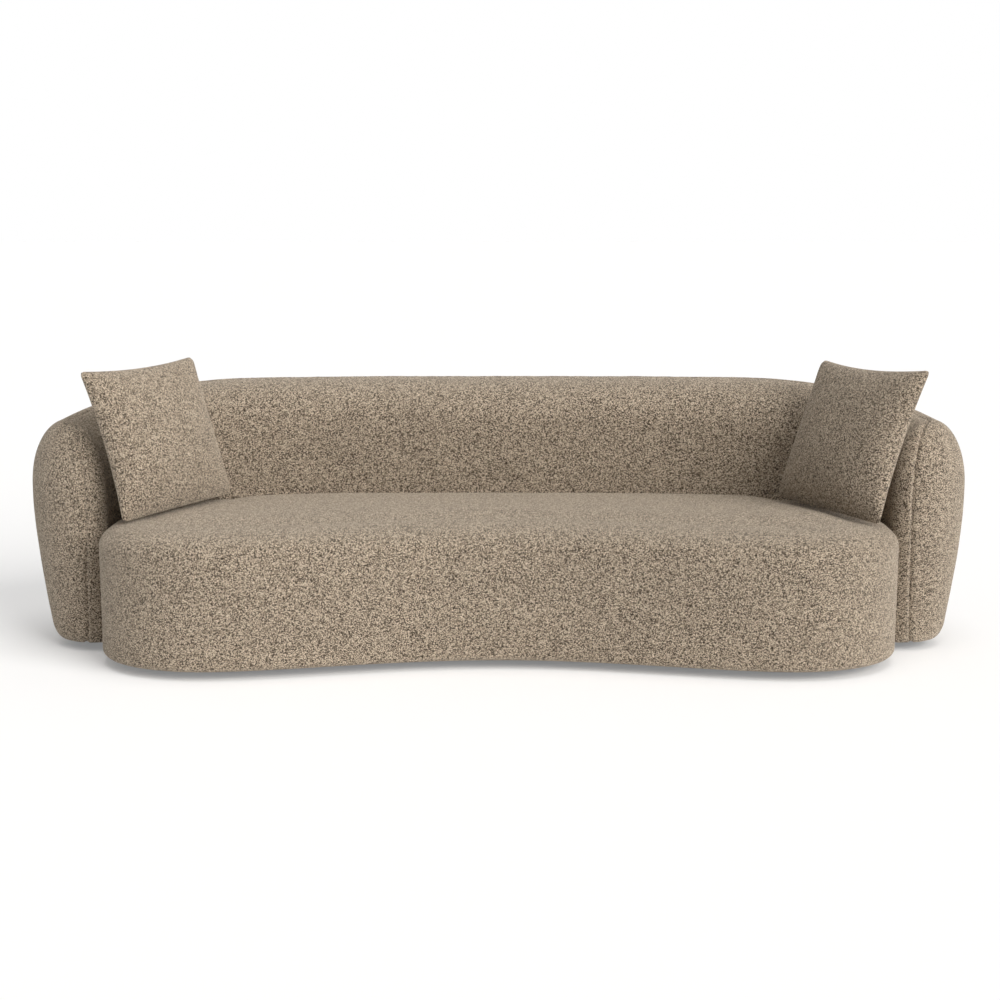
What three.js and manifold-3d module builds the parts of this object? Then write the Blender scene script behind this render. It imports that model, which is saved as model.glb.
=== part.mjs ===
// Curved sofa: a kidney-shaped seat, a back that wraps round into both arms, and two loose cushions.
// Millimetres, +Z up. The origin is on the floor under the middle, +X to the right and +Y to the back.
import * as THREE from 'three';
import Module from 'manifold-3d';

const wasm = await Module();
wasm.setup();

// Overall sizes
const overall_width = 2788;
const overall_depth = 943;
const back_height = 763;
const seat_height = 420;
const floor_gap = 24;

// Plan of the seat
const lobe_width = 325;
const lobe_depth = 263;
const lobe_power = 2.1;
const front_hollow = 125;
const hollow_power = 0.8;
const rear_across_power = 3.2;
const rear_depth_power = 2.6;
const seat_spine_share = 0.74;

// Section of the seat
const seat_crown = 6;
const front_edge_reach = 100;
const front_edge_drop = 67;
const rear_edge_reach = 34;
const rear_edge_drop = 22;
const rear_edge_blend_share = 0.3;
const seat_bottom_round = 20;

// Plan of the back and arms
const back_thickness = 280;
const arm_thickness = 244;
const nose_tip_share = 0.789;
const arm_setback = 302;
const arm_widest_setback = 498;
const outer_across_power = 2.5;
const outer_depth_power = 2.5;

// Section of the back and arms
const arm_height = 678;
const back_dome = 130;
const arm_dome = 200;
const arm_drop_start_share = 0.46;
const outer_taper_share = 0.52;
const outer_taper_power = 1.6;
const outer_bottom_round_share = 0.25;
const inner_bottom_round_share = 0.1;
const arm_bottom_round = 45;
const arm_hem_share = 0.1;
const nose_side_share = 0.3;

// Fabric, foam and wadding
const cover_thickness = 4;
const layer_gap = 0.4;
const piece_gap = 0.3;
const border_wadding = 14;
const back_foam = 45;
const hem_width = 32;
const dust_cover_thickness = 1.5;

// Timber frame
const board_thickness = 18;
const fascia_thickness = 6;
const panel_thickness = 4;
const seat_board_share = 0.3;
const seat_ring_width = 70;
const seat_frame_height = 220;
const seat_rib_spacing_share = 0.1733;
const seat_rib_count = 5;
const strap_width = 60;
const strap_thickness = 2;
const strap_spacing_share = 0.117;
const strap_count = 7;
const strap_end_setback = 8;
const frame_end_step = 2;
const back_rib_steps = [3, 6, 9, 12, 15, 18, 21];

// Feet
const foot_radius = 30;
const foot_flange_radius = 38;
const foot_flange_thickness = 5;
const foot_setback_share = 0.256;
const seat_foot_steps = [5, 12, 19, 36];
const back_foot_steps = [3, 7, 17, 21];

// Joining plates and their coach screws
const plate_length = 190;
const plate_width = 60;
const plate_thickness = 4;
const plate_steps = [6, 12, 18];
const screw_spacing = 146;
const screw_radius = 3;
const screw_head_radius = 6.5;
const screw_head_height = 4;
const screw_grip = 13;
const drill_gap = 0.3;

// Loose cushions
const cushion_size = 445;
const cushion_thickness = 130;
const cushion_draw_share = 0.08;
const cushion_edge_power = 0.6;
const cushion_front_share = 0.58;
const cushion_corner_share = 0.03;
const cushion_corner_power = 8;
const cushion_cover_thickness = 3;
const cushion_seam_allowance = 13;
const cushion_insert_gap = 0.6;
const left_cushion_yaw = 53.5;
const left_cushion_lean = 17.5;
const left_cushion_roll = 2.8;
const left_cushion_from_end = 189;
const left_cushion_from_back = 260;
const right_cushion_yaw = 57.5;
const right_cushion_lean = 20;
const right_cushion_roll = 2.3;
const right_cushion_from_end = 128;
const right_cushion_from_back = 260;
const cushion_drop = 40;
const cushion_push = 100;
const contact_gap = 0.1;

// Zip of a loose cushion
const zip_length = 300;
const zip_width = 5;
const zip_depth = 5;
const zip_inset = 6.5;
const slider_length = 12;
const slider_height = 4;

// Fineness of the curves
const plan_steps = 24;
const dense_steps = 720;
const bend_reach = 250;
const nose_inner_steps = 4;
const nose_outer_steps = 5;
const edge_steps = 4;
const top_fill_shares = [0.35, 0.7, 1];
const wall_level_shares = [0.14, 0.34, 0.62];
const dome_steps = 4;
const cushion_steps = 14;
const cushion_inner_steps = 8;
const foot_segments = 16;
const screw_segments = 10;
const weld_step = 0.001;

// Places worked out from the sizes
const front_y = -overall_depth / 2;
const rear_y = overall_depth / 2;
const back_face_y = rear_y - back_thickness;
const seat_width = overall_width - 2 * arm_thickness;
const seat_depth = overall_depth - back_thickness;
const lobe_spacing = seat_width - 2 * lobe_width;
const arm_front_spacing = overall_width - 2 * arm_thickness * nose_tip_share;
const seat_widest_y = front_y + lobe_depth;
const arm_front_y = front_y + arm_setback;
const arm_widest_y = front_y + arm_widest_setback;
const frame_low = floor_gap + cover_thickness + layer_gap;
const frame_skin = cover_thickness + layer_gap + border_wadding + layer_gap;
const frame_inset = frame_skin + fascia_thickness + piece_gap;
const bottom_board_inset = cover_thickness + layer_gap + seat_bottom_round + piece_gap;
const seat_frame_top = frame_low + seat_frame_height;
const seat_board_width = seat_depth * seat_board_share;
const seat_rib_spacing = seat_width * seat_rib_spacing_share;
const strap_spacing = seat_width * strap_spacing_share;
const foot_setback = seat_depth * foot_setback_share;
const foam_low = seat_frame_top + strap_thickness + piece_gap;
const back_skin = cover_thickness + layer_gap + back_foam + layer_gap;
const back_rib_inset = back_skin + panel_thickness + piece_gap;
const wall_top = arm_height - arm_dome - 2 * board_thickness;

// Materials
const fabric = new THREE.MeshStandardMaterial({ color: 0x96887a, roughness: 0.95, metalness: 0 });
const foam = new THREE.MeshStandardMaterial({ color: 0xe9dfc4, roughness: 0.9, metalness: 0 });
const wadding = new THREE.MeshStandardMaterial({ color: 0xf3f1ec, roughness: 1, metalness: 0 });
const timber = new THREE.MeshStandardMaterial({ color: 0xc9a777, roughness: 0.7, metalness: 0 });
const webbing = new THREE.MeshStandardMaterial({ color: 0x3b352f, roughness: 0.85, metalness: 0 });
const lining = new THREE.MeshStandardMaterial({ color: 0x24231f, roughness: 0.95, metalness: 0 });
const steel = new THREE.MeshStandardMaterial({ color: 0x9c9c9a, roughness: 0.4, metalness: 0.9 });
const plastic = new THREE.MeshStandardMaterial({ color: 0x1b1b1b, roughness: 0.5, metalness: 0 });
const zipTape = new THREE.MeshStandardMaterial({ color: 0x6f6355, roughness: 0.8, metalness: 0 });

// A smooth rise from 0 to 1.
function smooth(share) {
  const held = Math.min(1, Math.max(0, share));
  return held * held * (3 - 2 * held);
}

function mix(low, high, share) {
  return low + (high - low) * share;
}

// A mesh from loose triangles: corners that meet are shared, and triangles with no area are dropped.
function weld(triangles) {
  const places = new Map();
  const positions = [];
  const indices = [];
  const indexOf = (point) => {
    const key = [point.x, point.y, point.z].map((value) => Math.round(value / weld_step)).join(' ');
    if (!places.has(key)) {
      places.set(key, positions.length / 3);
      positions.push(point.x, point.y, point.z);
    }
    return places.get(key);
  };
  for (const triangle of triangles) {
    const [a, b, c] = triangle.map(indexOf);
    if (a !== b && b !== c && c !== a) {
      indices.push(a, b, c);
    }
  }
  const geometry = new THREE.BufferGeometry();
  geometry.setAttribute('position', new THREE.Float32BufferAttribute(positions, 3));
  geometry.setIndex(indices);
  geometry.computeVertexNormals();
  return geometry;
}

// The triangles of any three.js geometry, as corner points.
function trianglesOf(geometry) {
  const flat = geometry.index ? geometry.toNonIndexed() : geometry;
  const place = flat.getAttribute('position');
  const triangles = [];
  for (let first = 0; first < place.count; first += 3) {
    const corner = (step) => new THREE.Vector3().fromBufferAttribute(place, first + step);
    triangles.push([corner(0), corner(1), corner(2)]);
  }
  return triangles;
}

function toSolid(geometry) {
  const closed = weld(trianglesOf(geometry));
  const vertProperties = new Float32Array(closed.getAttribute('position').array);
  const triVerts = new Uint32Array(closed.index.array);
  return new wasm.Manifold(new wasm.Mesh({ numProp: 3, vertProperties, triVerts }));
}

function fromSolid(solid) {
  const mesh = solid.getMesh();
  const geometry = new THREE.BufferGeometry();
  geometry.setAttribute('position', new THREE.BufferAttribute(new Float32Array(mesh.vertProperties), 3));
  geometry.setIndex(new THREE.BufferAttribute(new Uint32Array(mesh.triVerts), 1));
  geometry.computeVertexNormals();
  return geometry;
}

function cut(geometry, tools) {
  let solid = toSolid(geometry);
  for (const tool of tools) {
    solid = solid.subtract(toSolid(tool));
  }
  return fromSolid(solid);
}

function common(geometry, other) {
  return fromSolid(toSolid(geometry).intersect(toSolid(other)));
}

function quad(a, b, c, d) {
  return [[a, b, c], [a, c, d]];
}

// The faces between two rows of points.
function strip(row, next, closed) {
  const faces = [];
  const count = closed ? row.length : row.length - 1;
  for (let step = 0; step < count; step += 1) {
    const after = (step + 1) % row.length;
    faces.push(...quad(row[step], row[after], next[after], next[step]));
  }
  return faces;
}

// The faces between rows that climb on the outside of a piece. Each row runs anticlockwise seen from
// above. Layers that are built this way from rows alike lie parallel to each other.
function climbing(rows, closed) {
  return rows.slice(1).flatMap((row, index) => strip(rows[index], row, closed));
}

function turnedOver(faces) {
  return faces.map(([a, b, c]) => [c, b, a]);
}

// A solid piece. Its top closes on the last of its rows, and its bottom on the last of its low rows.
function solidOf(rows, low_rows) {
  return weld([...climbing(rows, true), ...turnedOver(climbing([rows[0], ...low_rows], true))]);
}

// A shell that is open at the bottom. The last outer row and the last inner row shrink to a line.
function shellOf(outer_rows, inner_rows) {
  return weld([
    ...climbing(outer_rows, true),
    ...turnedOver(climbing(inner_rows, true)),
    ...strip(inner_rows[0], outer_rows[0], true),
  ]);
}

// A wall that closes on itself both ways, between an outer and an inner face.
function hoopOf(outer_rows, inner_rows) {
  return weld([
    ...climbing(outer_rows, true),
    ...turnedOver(climbing(inner_rows, true)),
    ...strip(inner_rows[0], outer_rows[0], true),
    ...strip(outer_rows[outer_rows.length - 1], inner_rows[inner_rows.length - 1], true),
  ]);
}

// A sheet between an outer and an inner face, with its four edges closed.
function sheetOf(outer_rows, inner_rows) {
  const triangles = [
    ...climbing(outer_rows, false),
    ...turnedOver(climbing(inner_rows, false)),
    ...strip(inner_rows[0], outer_rows[0], false),
    ...strip(outer_rows[outer_rows.length - 1], inner_rows[inner_rows.length - 1], false),
  ];
  const last = outer_rows[0].length - 1;
  for (let row = 0; row + 1 < outer_rows.length; row += 1) {
    const [outer, above] = [outer_rows[row], outer_rows[row + 1]];
    const [inner, inner_above] = [inner_rows[row], inner_rows[row + 1]];
    triangles.push(...quad(inner[0], outer[0], above[0], inner_above[0]));
    triangles.push(...quad(inner[last], inner_above[last], above[last], outer[last]));
  }
  return weld(triangles);
}

// Half of a squared oval, from its left end over the back to its right end.
function squaredOval(half_width, depth, centre_y, across_power, depth_power) {
  const points = [];
  for (let step = 0; step <= dense_steps; step += 1) {
    const angle = Math.PI * (step / dense_steps - 1 / 2);
    const across = Math.sign(Math.sin(angle)) * Math.abs(Math.sin(angle)) ** (2 / across_power);
    const deep = Math.abs(Math.cos(angle)) ** (2 / depth_power);
    points.push(new THREE.Vector2(half_width * across, centre_y + depth * deep));
  }
  return points;
}

// The front of the seat, from its left end to its right end: a round lobe, the hollow and the other lobe.
function seatFrontCurve() {
  const lobe_x = lobe_spacing / 2;
  const points = [];
  for (let step = 0; step < dense_steps; step += 1) {
    const angle = Math.PI / 2 * step / dense_steps;
    const reach = lobe_width * Math.cos(angle) ** (2 / lobe_power);
    const deep = lobe_depth * Math.sin(angle) ** (2 / lobe_power);
    points.push(new THREE.Vector2(-lobe_x - reach, seat_widest_y - deep));
  }
  for (let step = 0; step <= dense_steps; step += 1) {
    const share = 2 * step / dense_steps - 1;
    const rise = Math.max(0, (1 + Math.cos(Math.PI * share)) / 2) ** hollow_power;
    points.push(new THREE.Vector2(lobe_x * share, front_y + front_hollow * rise));
  }
  for (let step = dense_steps - 1; step >= 0; step -= 1) {
    const mirrored = points[step];
    points.push(new THREE.Vector2(-mirrored.x, mirrored.y));
  }
  return points;
}

// How much a curve turns at one of its points.
function bendAt(points, step) {
  const before = points[step].clone().sub(points[step - 1]);
  const after = points[step + 1].clone().sub(points[step]);
  return before.length() > 0 && after.length() > 0 ? before.angleTo(after) : 0;
}

// The same curve as a few points along it, closer together where it bends.
function spacedPoints(points, steps) {
  const lengths = [0];
  for (let step = 1; step < points.length; step += 1) {
    const bend = step + 1 < points.length ? bendAt(points, step) : 0;
    lengths.push(lengths[step - 1] + points[step].distanceTo(points[step - 1]) + bend_reach * bend);
  }
  const total = lengths[lengths.length - 1];
  const even = [];
  let at = 0;
  for (let step = 0; step <= steps; step += 1) {
    const wanted = total * step / steps;
    while (at + 2 < points.length && lengths[at + 1] < wanted) {
      at += 1;
    }
    const share = Math.min(1, (wanted - lengths[at]) / (lengths[at + 1] - lengths[at]));
    even.push(points[at].clone().lerp(points[at + 1], share));
  }
  return even;
}

// The way into the piece at each point of an anticlockwise outline. A step of one along it sets both
// edges that meet at the point in by one.
function inwardOf(points) {
  const normals = points.map((point, step) => {
    const along = points[(step + 1) % points.length].clone().sub(point).normalize();
    return new THREE.Vector2(-along.y, along.x);
  });
  return normals.map((after, step) => {
    const before = normals[(step + points.length - 1) % points.length];
    return before.clone().add(after).divideScalar(1 + before.dot(after));
  });
}

// The seat's outline: its front from left to right, then its rear from right to left. Each place knows
// its point on the spine that the top closes on, and how much of the deep front edge it has.
const seat_front = spacedPoints(seatFrontCurve(), plan_steps);
const seat_rear = spacedPoints(
  squaredOval(seat_width / 2, back_face_y - seat_widest_y, seat_widest_y, rear_across_power, rear_depth_power),
  plan_steps,
);
const seat_spine = seat_front.map((point, step) => {
  const middle = point.clone().lerp(seat_rear[step], 1 / 2);
  return new THREE.Vector2(middle.x * seat_spine_share, middle.y);
});

function seatPlaces() {
  const places = [];
  for (let step = 0; step <= plan_steps; step += 1) {
    places.push({ point: seat_front[step], spine: seat_spine[step], front: 1 });
  }
  for (let step = plan_steps - 1; step > 0; step -= 1) {
    const from_end = Math.min(step, plan_steps - step) / plan_steps;
    const front = 1 - smooth(from_end / rear_edge_blend_share);
    places.push({ point: seat_rear[step], spine: seat_spine[step], front });
  }
  const inward = inwardOf(places.map((place) => place.point));
  return places.map((place, step) => ({ ...place, inward: inward[step] }));
}

const seat_places = seatPlaces();

// A row of the seat at one height, set in from the outline, and drawn towards the spine by a share.
function seatRow(inset, height, share = 0) {
  return seat_places.map((place) => {
    const set_in = typeof inset === 'function' ? inset(place) : inset;
    const z = typeof height === 'function' ? height(place) : height;
    const point = place.point.clone().addScaledVector(place.inward, set_in);
    const drawn = share === 1 ? place.spine : point.lerp(place.spine, share);
    return new THREE.Vector3(drawn.x, drawn.y, z);
  });
}

function edgeReach(place) {
  return mix(rear_edge_reach, front_edge_reach, place.front);
}

function edgeDrop(place) {
  return mix(rear_edge_drop, front_edge_drop, place.front);
}

// The rows of the seat's rounded edge and crowned top, for a layer that lies under the outside by skin.
function seatTopRows(skin) {
  const rows = [];
  for (let step = 0; step <= edge_steps; step += 1) {
    const angle = Math.PI / 2 * step / edge_steps;
    rows.push(seatRow(
      (place) => skin + edgeReach(place) * (1 - Math.cos(angle)),
      (place) => {
        const low = seat_height - seat_crown - edgeDrop(place);
        return low + (edgeDrop(place) - skin) * Math.sin(angle);
      },
    ));
  }
  for (const share of top_fill_shares) {
    const height = seat_height - seat_crown * (1 - share) ** 2 - skin;
    rows.push(seatRow((place) => skin + edgeReach(place), height, share));
  }
  return rows;
}

// The rows of the seat's rounded bottom edge, from the hem up.
function seatHemRows(skin) {
  const low = floor_gap + skin;
  const turn = seat_bottom_round * (1 - Math.SQRT1_2);
  return [
    seatRow(seat_bottom_round + hem_width, low),
    seatRow(skin + seat_bottom_round, low),
    seatRow(skin + turn, low + turn),
    seatRow(skin, low + seat_bottom_round),
  ];
}

function seatCover() {
  const outside = [...seatHemRows(0), ...seatTopRows(0)];
  const inside = [...seatHemRows(cover_thickness), ...seatTopRows(cover_thickness)];
  return shellOf(outside, inside);
}

function seatFoam() {
  const skin = cover_thickness + layer_gap;
  return solidOf([seatRow(skin, foam_low), ...seatTopRows(skin)], [seatRow(skin, foam_low, 1)]);
}

function seatWadding() {
  const skin = cover_thickness + layer_gap;
  const inner = skin + border_wadding;
  const low = floor_gap + seat_bottom_round + skin;
  const top = foam_low - piece_gap;
  return hoopOf([seatRow(skin, low), seatRow(skin, top)], [seatRow(inner, low), seatRow(inner, top)]);
}

function seatFascia() {
  const inner = frame_skin + fascia_thickness;
  const low = frame_low + board_thickness + piece_gap;
  return hoopOf(
    [seatRow(frame_skin, low), seatRow(frame_skin, seat_frame_top)],
    [seatRow(inner, low), seatRow(inner, seat_frame_top)],
  );
}

// A flat board with the seat's outline, and an opening that leaves a rim of a given width.
function seatBoard(low, thickness, inset, rim) {
  const outline = new THREE.Shape(seatRow(inset, low).map((point) => new THREE.Vector2(point.x, point.y)));
  if (rim > 0) {
    const opening = seatRow(inset + rim, low).map((point) => new THREE.Vector2(point.x, point.y));
    outline.holes.push(new THREE.Path(opening.reverse()));
  }
  const board = new THREE.ExtrudeGeometry(outline, { depth: thickness, bevelEnabled: false });
  return board.translate(0, 0, low);
}

function screwHole(place, low, depth) {
  const radius = screw_radius + drill_gap;
  const hole = new THREE.CylinderGeometry(radius, radius, depth, screw_segments);
  return hole.rotateX(Math.PI / 2).translate(place.x, place.y, low + depth / 2);
}

// A block that runs from front to back through the whole seat.
function crossBlock(x, width, low, high) {
  const block = new THREE.BoxGeometry(width, overall_depth, high - low);
  return block.translate(x, 0, (low + high) / 2);
}

function seatRib(x) {
  const low = frame_low + board_thickness;
  const high = seat_frame_top - board_thickness;
  const inside = seatBoard(low, high - low, frame_inset, 0);
  return common(crossBlock(x, board_thickness, low, high), inside);
}

function seatStrap(x) {
  const high = seat_frame_top + strap_thickness;
  const inside = seatBoard(seat_frame_top, strap_thickness, frame_inset + strap_end_setback, 0);
  return common(crossBlock(x, strap_width, seat_frame_top, high), inside);
}

// The inner and the outer line of the back in plan, from the left arm to the right arm. The inner line
// follows the rear of the seat, and both have a point for each step of the seat's rear but its two ends.
const rear_outward = inwardOf(seat_rear).map((inward) => inward.clone());
const back_inner = seat_rear.map((point, step) => point.clone().addScaledVector(rear_outward[step], layer_gap));
const back_outer = [
  null,
  ...spacedPoints(
    squaredOval(
      overall_width / 2,
      rear_y - arm_widest_y,
      arm_widest_y,
      outer_across_power,
      outer_depth_power,
    ),
    plan_steps - 2,
  ),
  null,
];

// How far along from the middle of the back to the end of an arm a step of the plan is.
function armShare(step) {
  return Math.abs(step - plan_steps / 2) / (plan_steps / 2 - 1);
}

function crownPoint(step) {
  const middle = back_inner[step].clone().lerp(back_outer[step], 1 / 2);
  const fall = smooth((armShare(step) - arm_drop_start_share) / (1 - arm_drop_start_share));
  return {
    middle,
    outward: back_outer[step].clone().sub(back_inner[step]).normalize(),
    top: mix(back_height, arm_height, fall),
    dome: mix(back_dome, arm_dome, fall),
  };
}

const crown_line = back_inner.map((point, step) => (step > 0 && step < plan_steps ? crownPoint(step) : null));

// The rounded front of an arm in plan, from the inner side round the nose to the outer side.
function nosePlaces(step, side_sign) {
  const inner = back_inner[step];
  const outer = back_outer[step];
  const tip = new THREE.Vector2(side_sign * arm_front_spacing / 2, arm_front_y);
  const places = [];
  for (let turn = 1; turn <= nose_inner_steps; turn += 1) {
    const angle = Math.PI / 2 * turn / nose_inner_steps;
    const x = mix(tip.x, inner.x, Math.cos(angle));
    const y = mix(inner.y, tip.y, Math.sin(angle));
    const side = nose_side_share * smooth(turn / nose_inner_steps);
    places.push({ point: new THREE.Vector2(x, y), step, side });
  }
  for (let turn = 1; turn < nose_outer_steps; turn += 1) {
    const angle = Math.PI / 2 * turn / nose_outer_steps;
    const x = mix(tip.x, outer.x, Math.sin(angle));
    const y = mix(outer.y, tip.y, Math.cos(angle));
    const side = mix(nose_side_share, 1, turn / nose_outer_steps);
    places.push({ point: new THREE.Vector2(x, y), step, side });
  }
  return places;
}

// The places on the inner side of the back from one step to another, and those on its outer side.
function innerSide(first, last) {
  return back_inner.slice(first, last + 1).map((point, index) => ({ point, step: first + index, side: 0 }));
}

function outerSide(first, last) {
  return back_outer.slice(first, last + 1).map((point, index) => ({ point, step: first + index, side: 1 }));
}

function withInward(places) {
  const inward = inwardOf(places.map((place) => place.point));
  return places.map((place, index) => ({ ...place, inward: inward[index], drift: new THREE.Vector2() }));
}

// The outline of the back and arms, anticlockwise: the inner side, the right nose, the outer side and the
// left nose. Side is 0 on the inner side and 1 on the outer side.
function backPlaces() {
  const last = plan_steps - 1;
  return withInward([
    ...innerSide(1, last),
    ...nosePlaces(last, 1),
    ...outerSide(1, last).reverse(),
    ...nosePlaces(1, -1).reverse(),
  ]);
}

// The frame's outline. Its arms end square behind the noses, and the corners there are repeated, so that
// it has as many places as the outline of the back. Drift is how its middle moves when it is set in.
function framePlaces() {
  const first = frame_end_step;
  const last = plan_steps - frame_end_step;
  const outline = withInward([...innerSide(first, last), ...outerSide(first, last).reverse()]);
  const corners = outline.map((place, index) => {
    const drift = place.inward.clone().add(outline[outline.length - 1 - index].inward).divideScalar(2);
    return { ...place, drift };
  });
  const half = corners.length / 2;
  const spare = nose_inner_steps + nose_outer_steps - 1 + 2 * (first - 1);
  const inner_spare = Math.floor(spare / 2);
  const repeated = (index, count) => Array.from({ length: count }, () => corners[index]);
  const places = [
    ...corners.slice(0, half),
    ...repeated(half - 1, inner_spare),
    ...repeated(half, spare - inner_spare),
    ...corners.slice(half),
    ...repeated(corners.length - 1, spare - inner_spare),
    ...repeated(0, inner_spare),
  ];
  const turn = places.length - (first - 1);
  return [...places.slice(turn), ...places.slice(0, turn)];
}

const back_places = backPlaces();
const frame_places = framePlaces();
const right_tip = plan_steps - 1 + nose_inner_steps - 1;
const left_tip = back_places.length - nose_inner_steps;

// How far the outer wall is drawn in towards the crown line at a height, as a share. It is straight
// between the wall levels, so that every layer of the wall has the same shape.
function outerTaper(height) {
  const levels = [0, ...wall_level_shares, 1];
  const share = Math.min(1, Math.max(0, (height - floor_gap) / (wall_top - floor_gap)));
  const above = Math.max(1, levels.findIndex((level) => level >= share));
  const [low, high] = [levels[above - 1], levels[above]];
  const taperAt = (level) => outer_taper_share * (1 - level) ** outer_taper_power;
  return mix(taperAt(low), taperAt(high), (share - low) / (high - low));
}

// The frame's outer wall is straight from the floor to the top of the wall.
function frameTaper(height) {
  const share = Math.min(1, Math.max(0, (height - floor_gap) / (wall_top - floor_gap)));
  return outer_taper_share * (1 - share);
}

function wallShare(place, z) {
  return place.side * outerTaper(z);
}

function frameShare(place, z) {
  return place.side * frameTaper(z);
}

function domeLow(crown) {
  return crown.top - crown.dome;
}

function railLow(crown) {
  return domeLow(crown) - board_thickness;
}

function underRail(crown) {
  return railLow(crown) - piece_gap;
}

function heightAt(height, crown) {
  return typeof height === 'function' ? height(crown) : height;
}

// A row of the back's wall at one height: the outline, drawn towards the crown line by a share and then
// set in by the thickness of what lies outside it.
function wallRow(places, inset, height, shareOf) {
  return places.map((place) => {
    const crown = crown_line[place.step];
    const z = heightAt(height, crown);
    const point = place.point.clone().lerp(crown.middle, shareOf(place, z));
    point.addScaledVector(place.inward, inset);
    return new THREE.Vector3(point.x, point.y, z);
  });
}

// A row of the domed crown: the set-in outline drawn towards the crown line by a share.
function domeRow(places, inset, height, share) {
  return places.map((place) => {
    const crown = crown_line[place.step];
    const target = crown.middle.clone().addScaledVector(crown.outward, place.seam_gap ?? 0);
    const point = place.point.clone().addScaledVector(place.inward, inset);
    const drawn = share === 1 ? target : point.lerp(target, share);
    return new THREE.Vector3(drawn.x, drawn.y, heightAt(height, crown));
  });
}

function closingRow(places, inset, height) {
  return places.map((place) => {
    const crown = crown_line[place.step];
    const point = crown.middle.clone().addScaledVector(place.drift, inset);
    return new THREE.Vector3(point.x, point.y, heightAt(height, crown));
  });
}

// The rows of the rounded bottom edge of the back and arms, from the hem up.
function backHemRows(places, skin) {
  const roundShare = (place) => mix(inner_bottom_round_share, outer_bottom_round_share, place.side);
  const low = floor_gap + skin;
  const turn = 1 - Math.SQRT1_2;
  return [
    wallRow(places, 0, low, (place, z) => wallShare(place, z) + roundShare(place) + arm_hem_share),
    wallRow(places, skin, low, (place, z) => wallShare(place, z) + roundShare(place)),
    wallRow(places, skin, low + arm_bottom_round * turn, (place, z) => (
      wallShare(place, z) + roundShare(place) * turn
    )),
  ];
}

// The rows of the wall from the bottom edge to the dome, with the wall levels between them.
function backWallRows(places, skin) {
  const low = floor_gap + arm_bottom_round;
  const levels = wall_level_shares.map((share) => mix(floor_gap, wall_top, share));
  const heights = [low, ...levels.filter((level) => level > low), wall_top, domeLow];
  return heights.map((height) => wallRow(places, skin, height, wallShare));
}

function backDomeRows(places, skin) {
  const rows = [];
  for (let step = 1; step <= dome_steps; step += 1) {
    const angle = Math.PI / 2 * step / dome_steps;
    const share = step === dome_steps ? 1 : 1 - Math.cos(angle);
    rows.push(domeRow(places, skin, (crown) => domeLow(crown) + (crown.dome - skin) * Math.sin(angle), share));
  }
  return rows;
}

function backSkinRows(places, skin) {
  return [...backHemRows(places, skin), ...backWallRows(places, skin), ...backDomeRows(places, skin)];
}

// One of the two covers of the back: a sheet from the hem over the wall to the seam along the crown.
function backCover(places) {
  return sheetOf(backSkinRows(places, 0), backSkinRows(places, cover_thickness));
}

function innerCoverPlaces() {
  return [...back_places.slice(left_tip), ...back_places.slice(0, right_tip + 1)];
}

// The outer cover starts a seam's gap away from the inner one, at both noses and along the crown.
function outerCoverPlaces() {
  const places = back_places.slice(right_tip, left_tip + 1);
  return places.map((place, index) => {
    const point = place.point.clone();
    if (index === 0 || index === places.length - 1) {
      point.x += Math.sign(point.x) * piece_gap;
    }
    return { ...place, point, seam_gap: piece_gap };
  });
}

// The frame's rows from one height to another: its inner wall is upright and its outer wall leans.
function frameRows(places, inset, low, high) {
  return [low, wall_top, high].map((height) => wallRow(places, inset, height, frameShare));
}

function backFoam() {
  const skin = cover_thickness + layer_gap;
  const cavity_top = (crown) => domeLow(crown) + piece_gap;
  const inset = back_skin - layer_gap;
  const cavity = [
    ...frameRows(frame_places, inset, frame_low, cavity_top),
    closingRow(frame_places, inset, cavity_top),
  ];
  return shellOf(backSkinRows(back_places, skin).slice(1), cavity);
}

// The space between the panels, from the bottom board to the top rail.
function backRibSpace() {
  const low = frame_low + board_thickness;
  const top = closingRow(frame_places, back_rib_inset, underRail);
  const rows = [...frameRows(frame_places, back_rib_inset, low, underRail), top];
  return solidOf(rows, [closingRow(frame_places, back_rib_inset, low)]);
}

function backRib(step) {
  const crown = crown_line[step];
  const plate = new THREE.BoxGeometry(back_thickness, board_thickness, back_height);
  plate.rotateZ(Math.atan2(crown.outward.y, crown.outward.x));
  plate.translate(crown.middle.x, crown.middle.y, back_height / 2);
  return common(plate, backRibSpace());
}

// A flat board with the plan of the back or of its frame, between two heights.
function backBoard(places, low, high, inset, shareOf) {
  const rows = [
    wallRow(places, inset, low, shareOf),
    wallRow(places, inset, high, shareOf),
    closingRow(places, inset, high),
  ];
  return solidOf(rows, [closingRow(places, inset, low)]);
}

function backBottomBoard() {
  const edge = (place) => frameShare(place, frame_low);
  return backBoard(frame_places, frame_low, frame_low + board_thickness, back_skin, edge);
}

// The rail under the dome. Its underside has the rows of the panels and the ribs that end below it.
function backRail() {
  const rowAt = (inset, height) => wallRow(frame_places, inset, height, () => 0);
  const top = closingRow(frame_places, back_skin, domeLow);
  return solidOf([rowAt(back_skin, railLow), rowAt(back_skin, domeLow), top], [
    rowAt(back_skin + panel_thickness, railLow),
    rowAt(back_rib_inset, railLow),
    closingRow(frame_places, back_rib_inset, railLow),
  ]);
}

function backDustCover() {
  const roundShare = (place) => mix(inner_bottom_round_share, outer_bottom_round_share, place.side);
  const edge = (place) => wallShare(place, floor_gap) + roundShare(place) + arm_hem_share;
  const low = frame_low - dust_cover_thickness;
  return backBoard(back_places, low, frame_low, layer_gap + piece_gap, edge);
}

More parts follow.
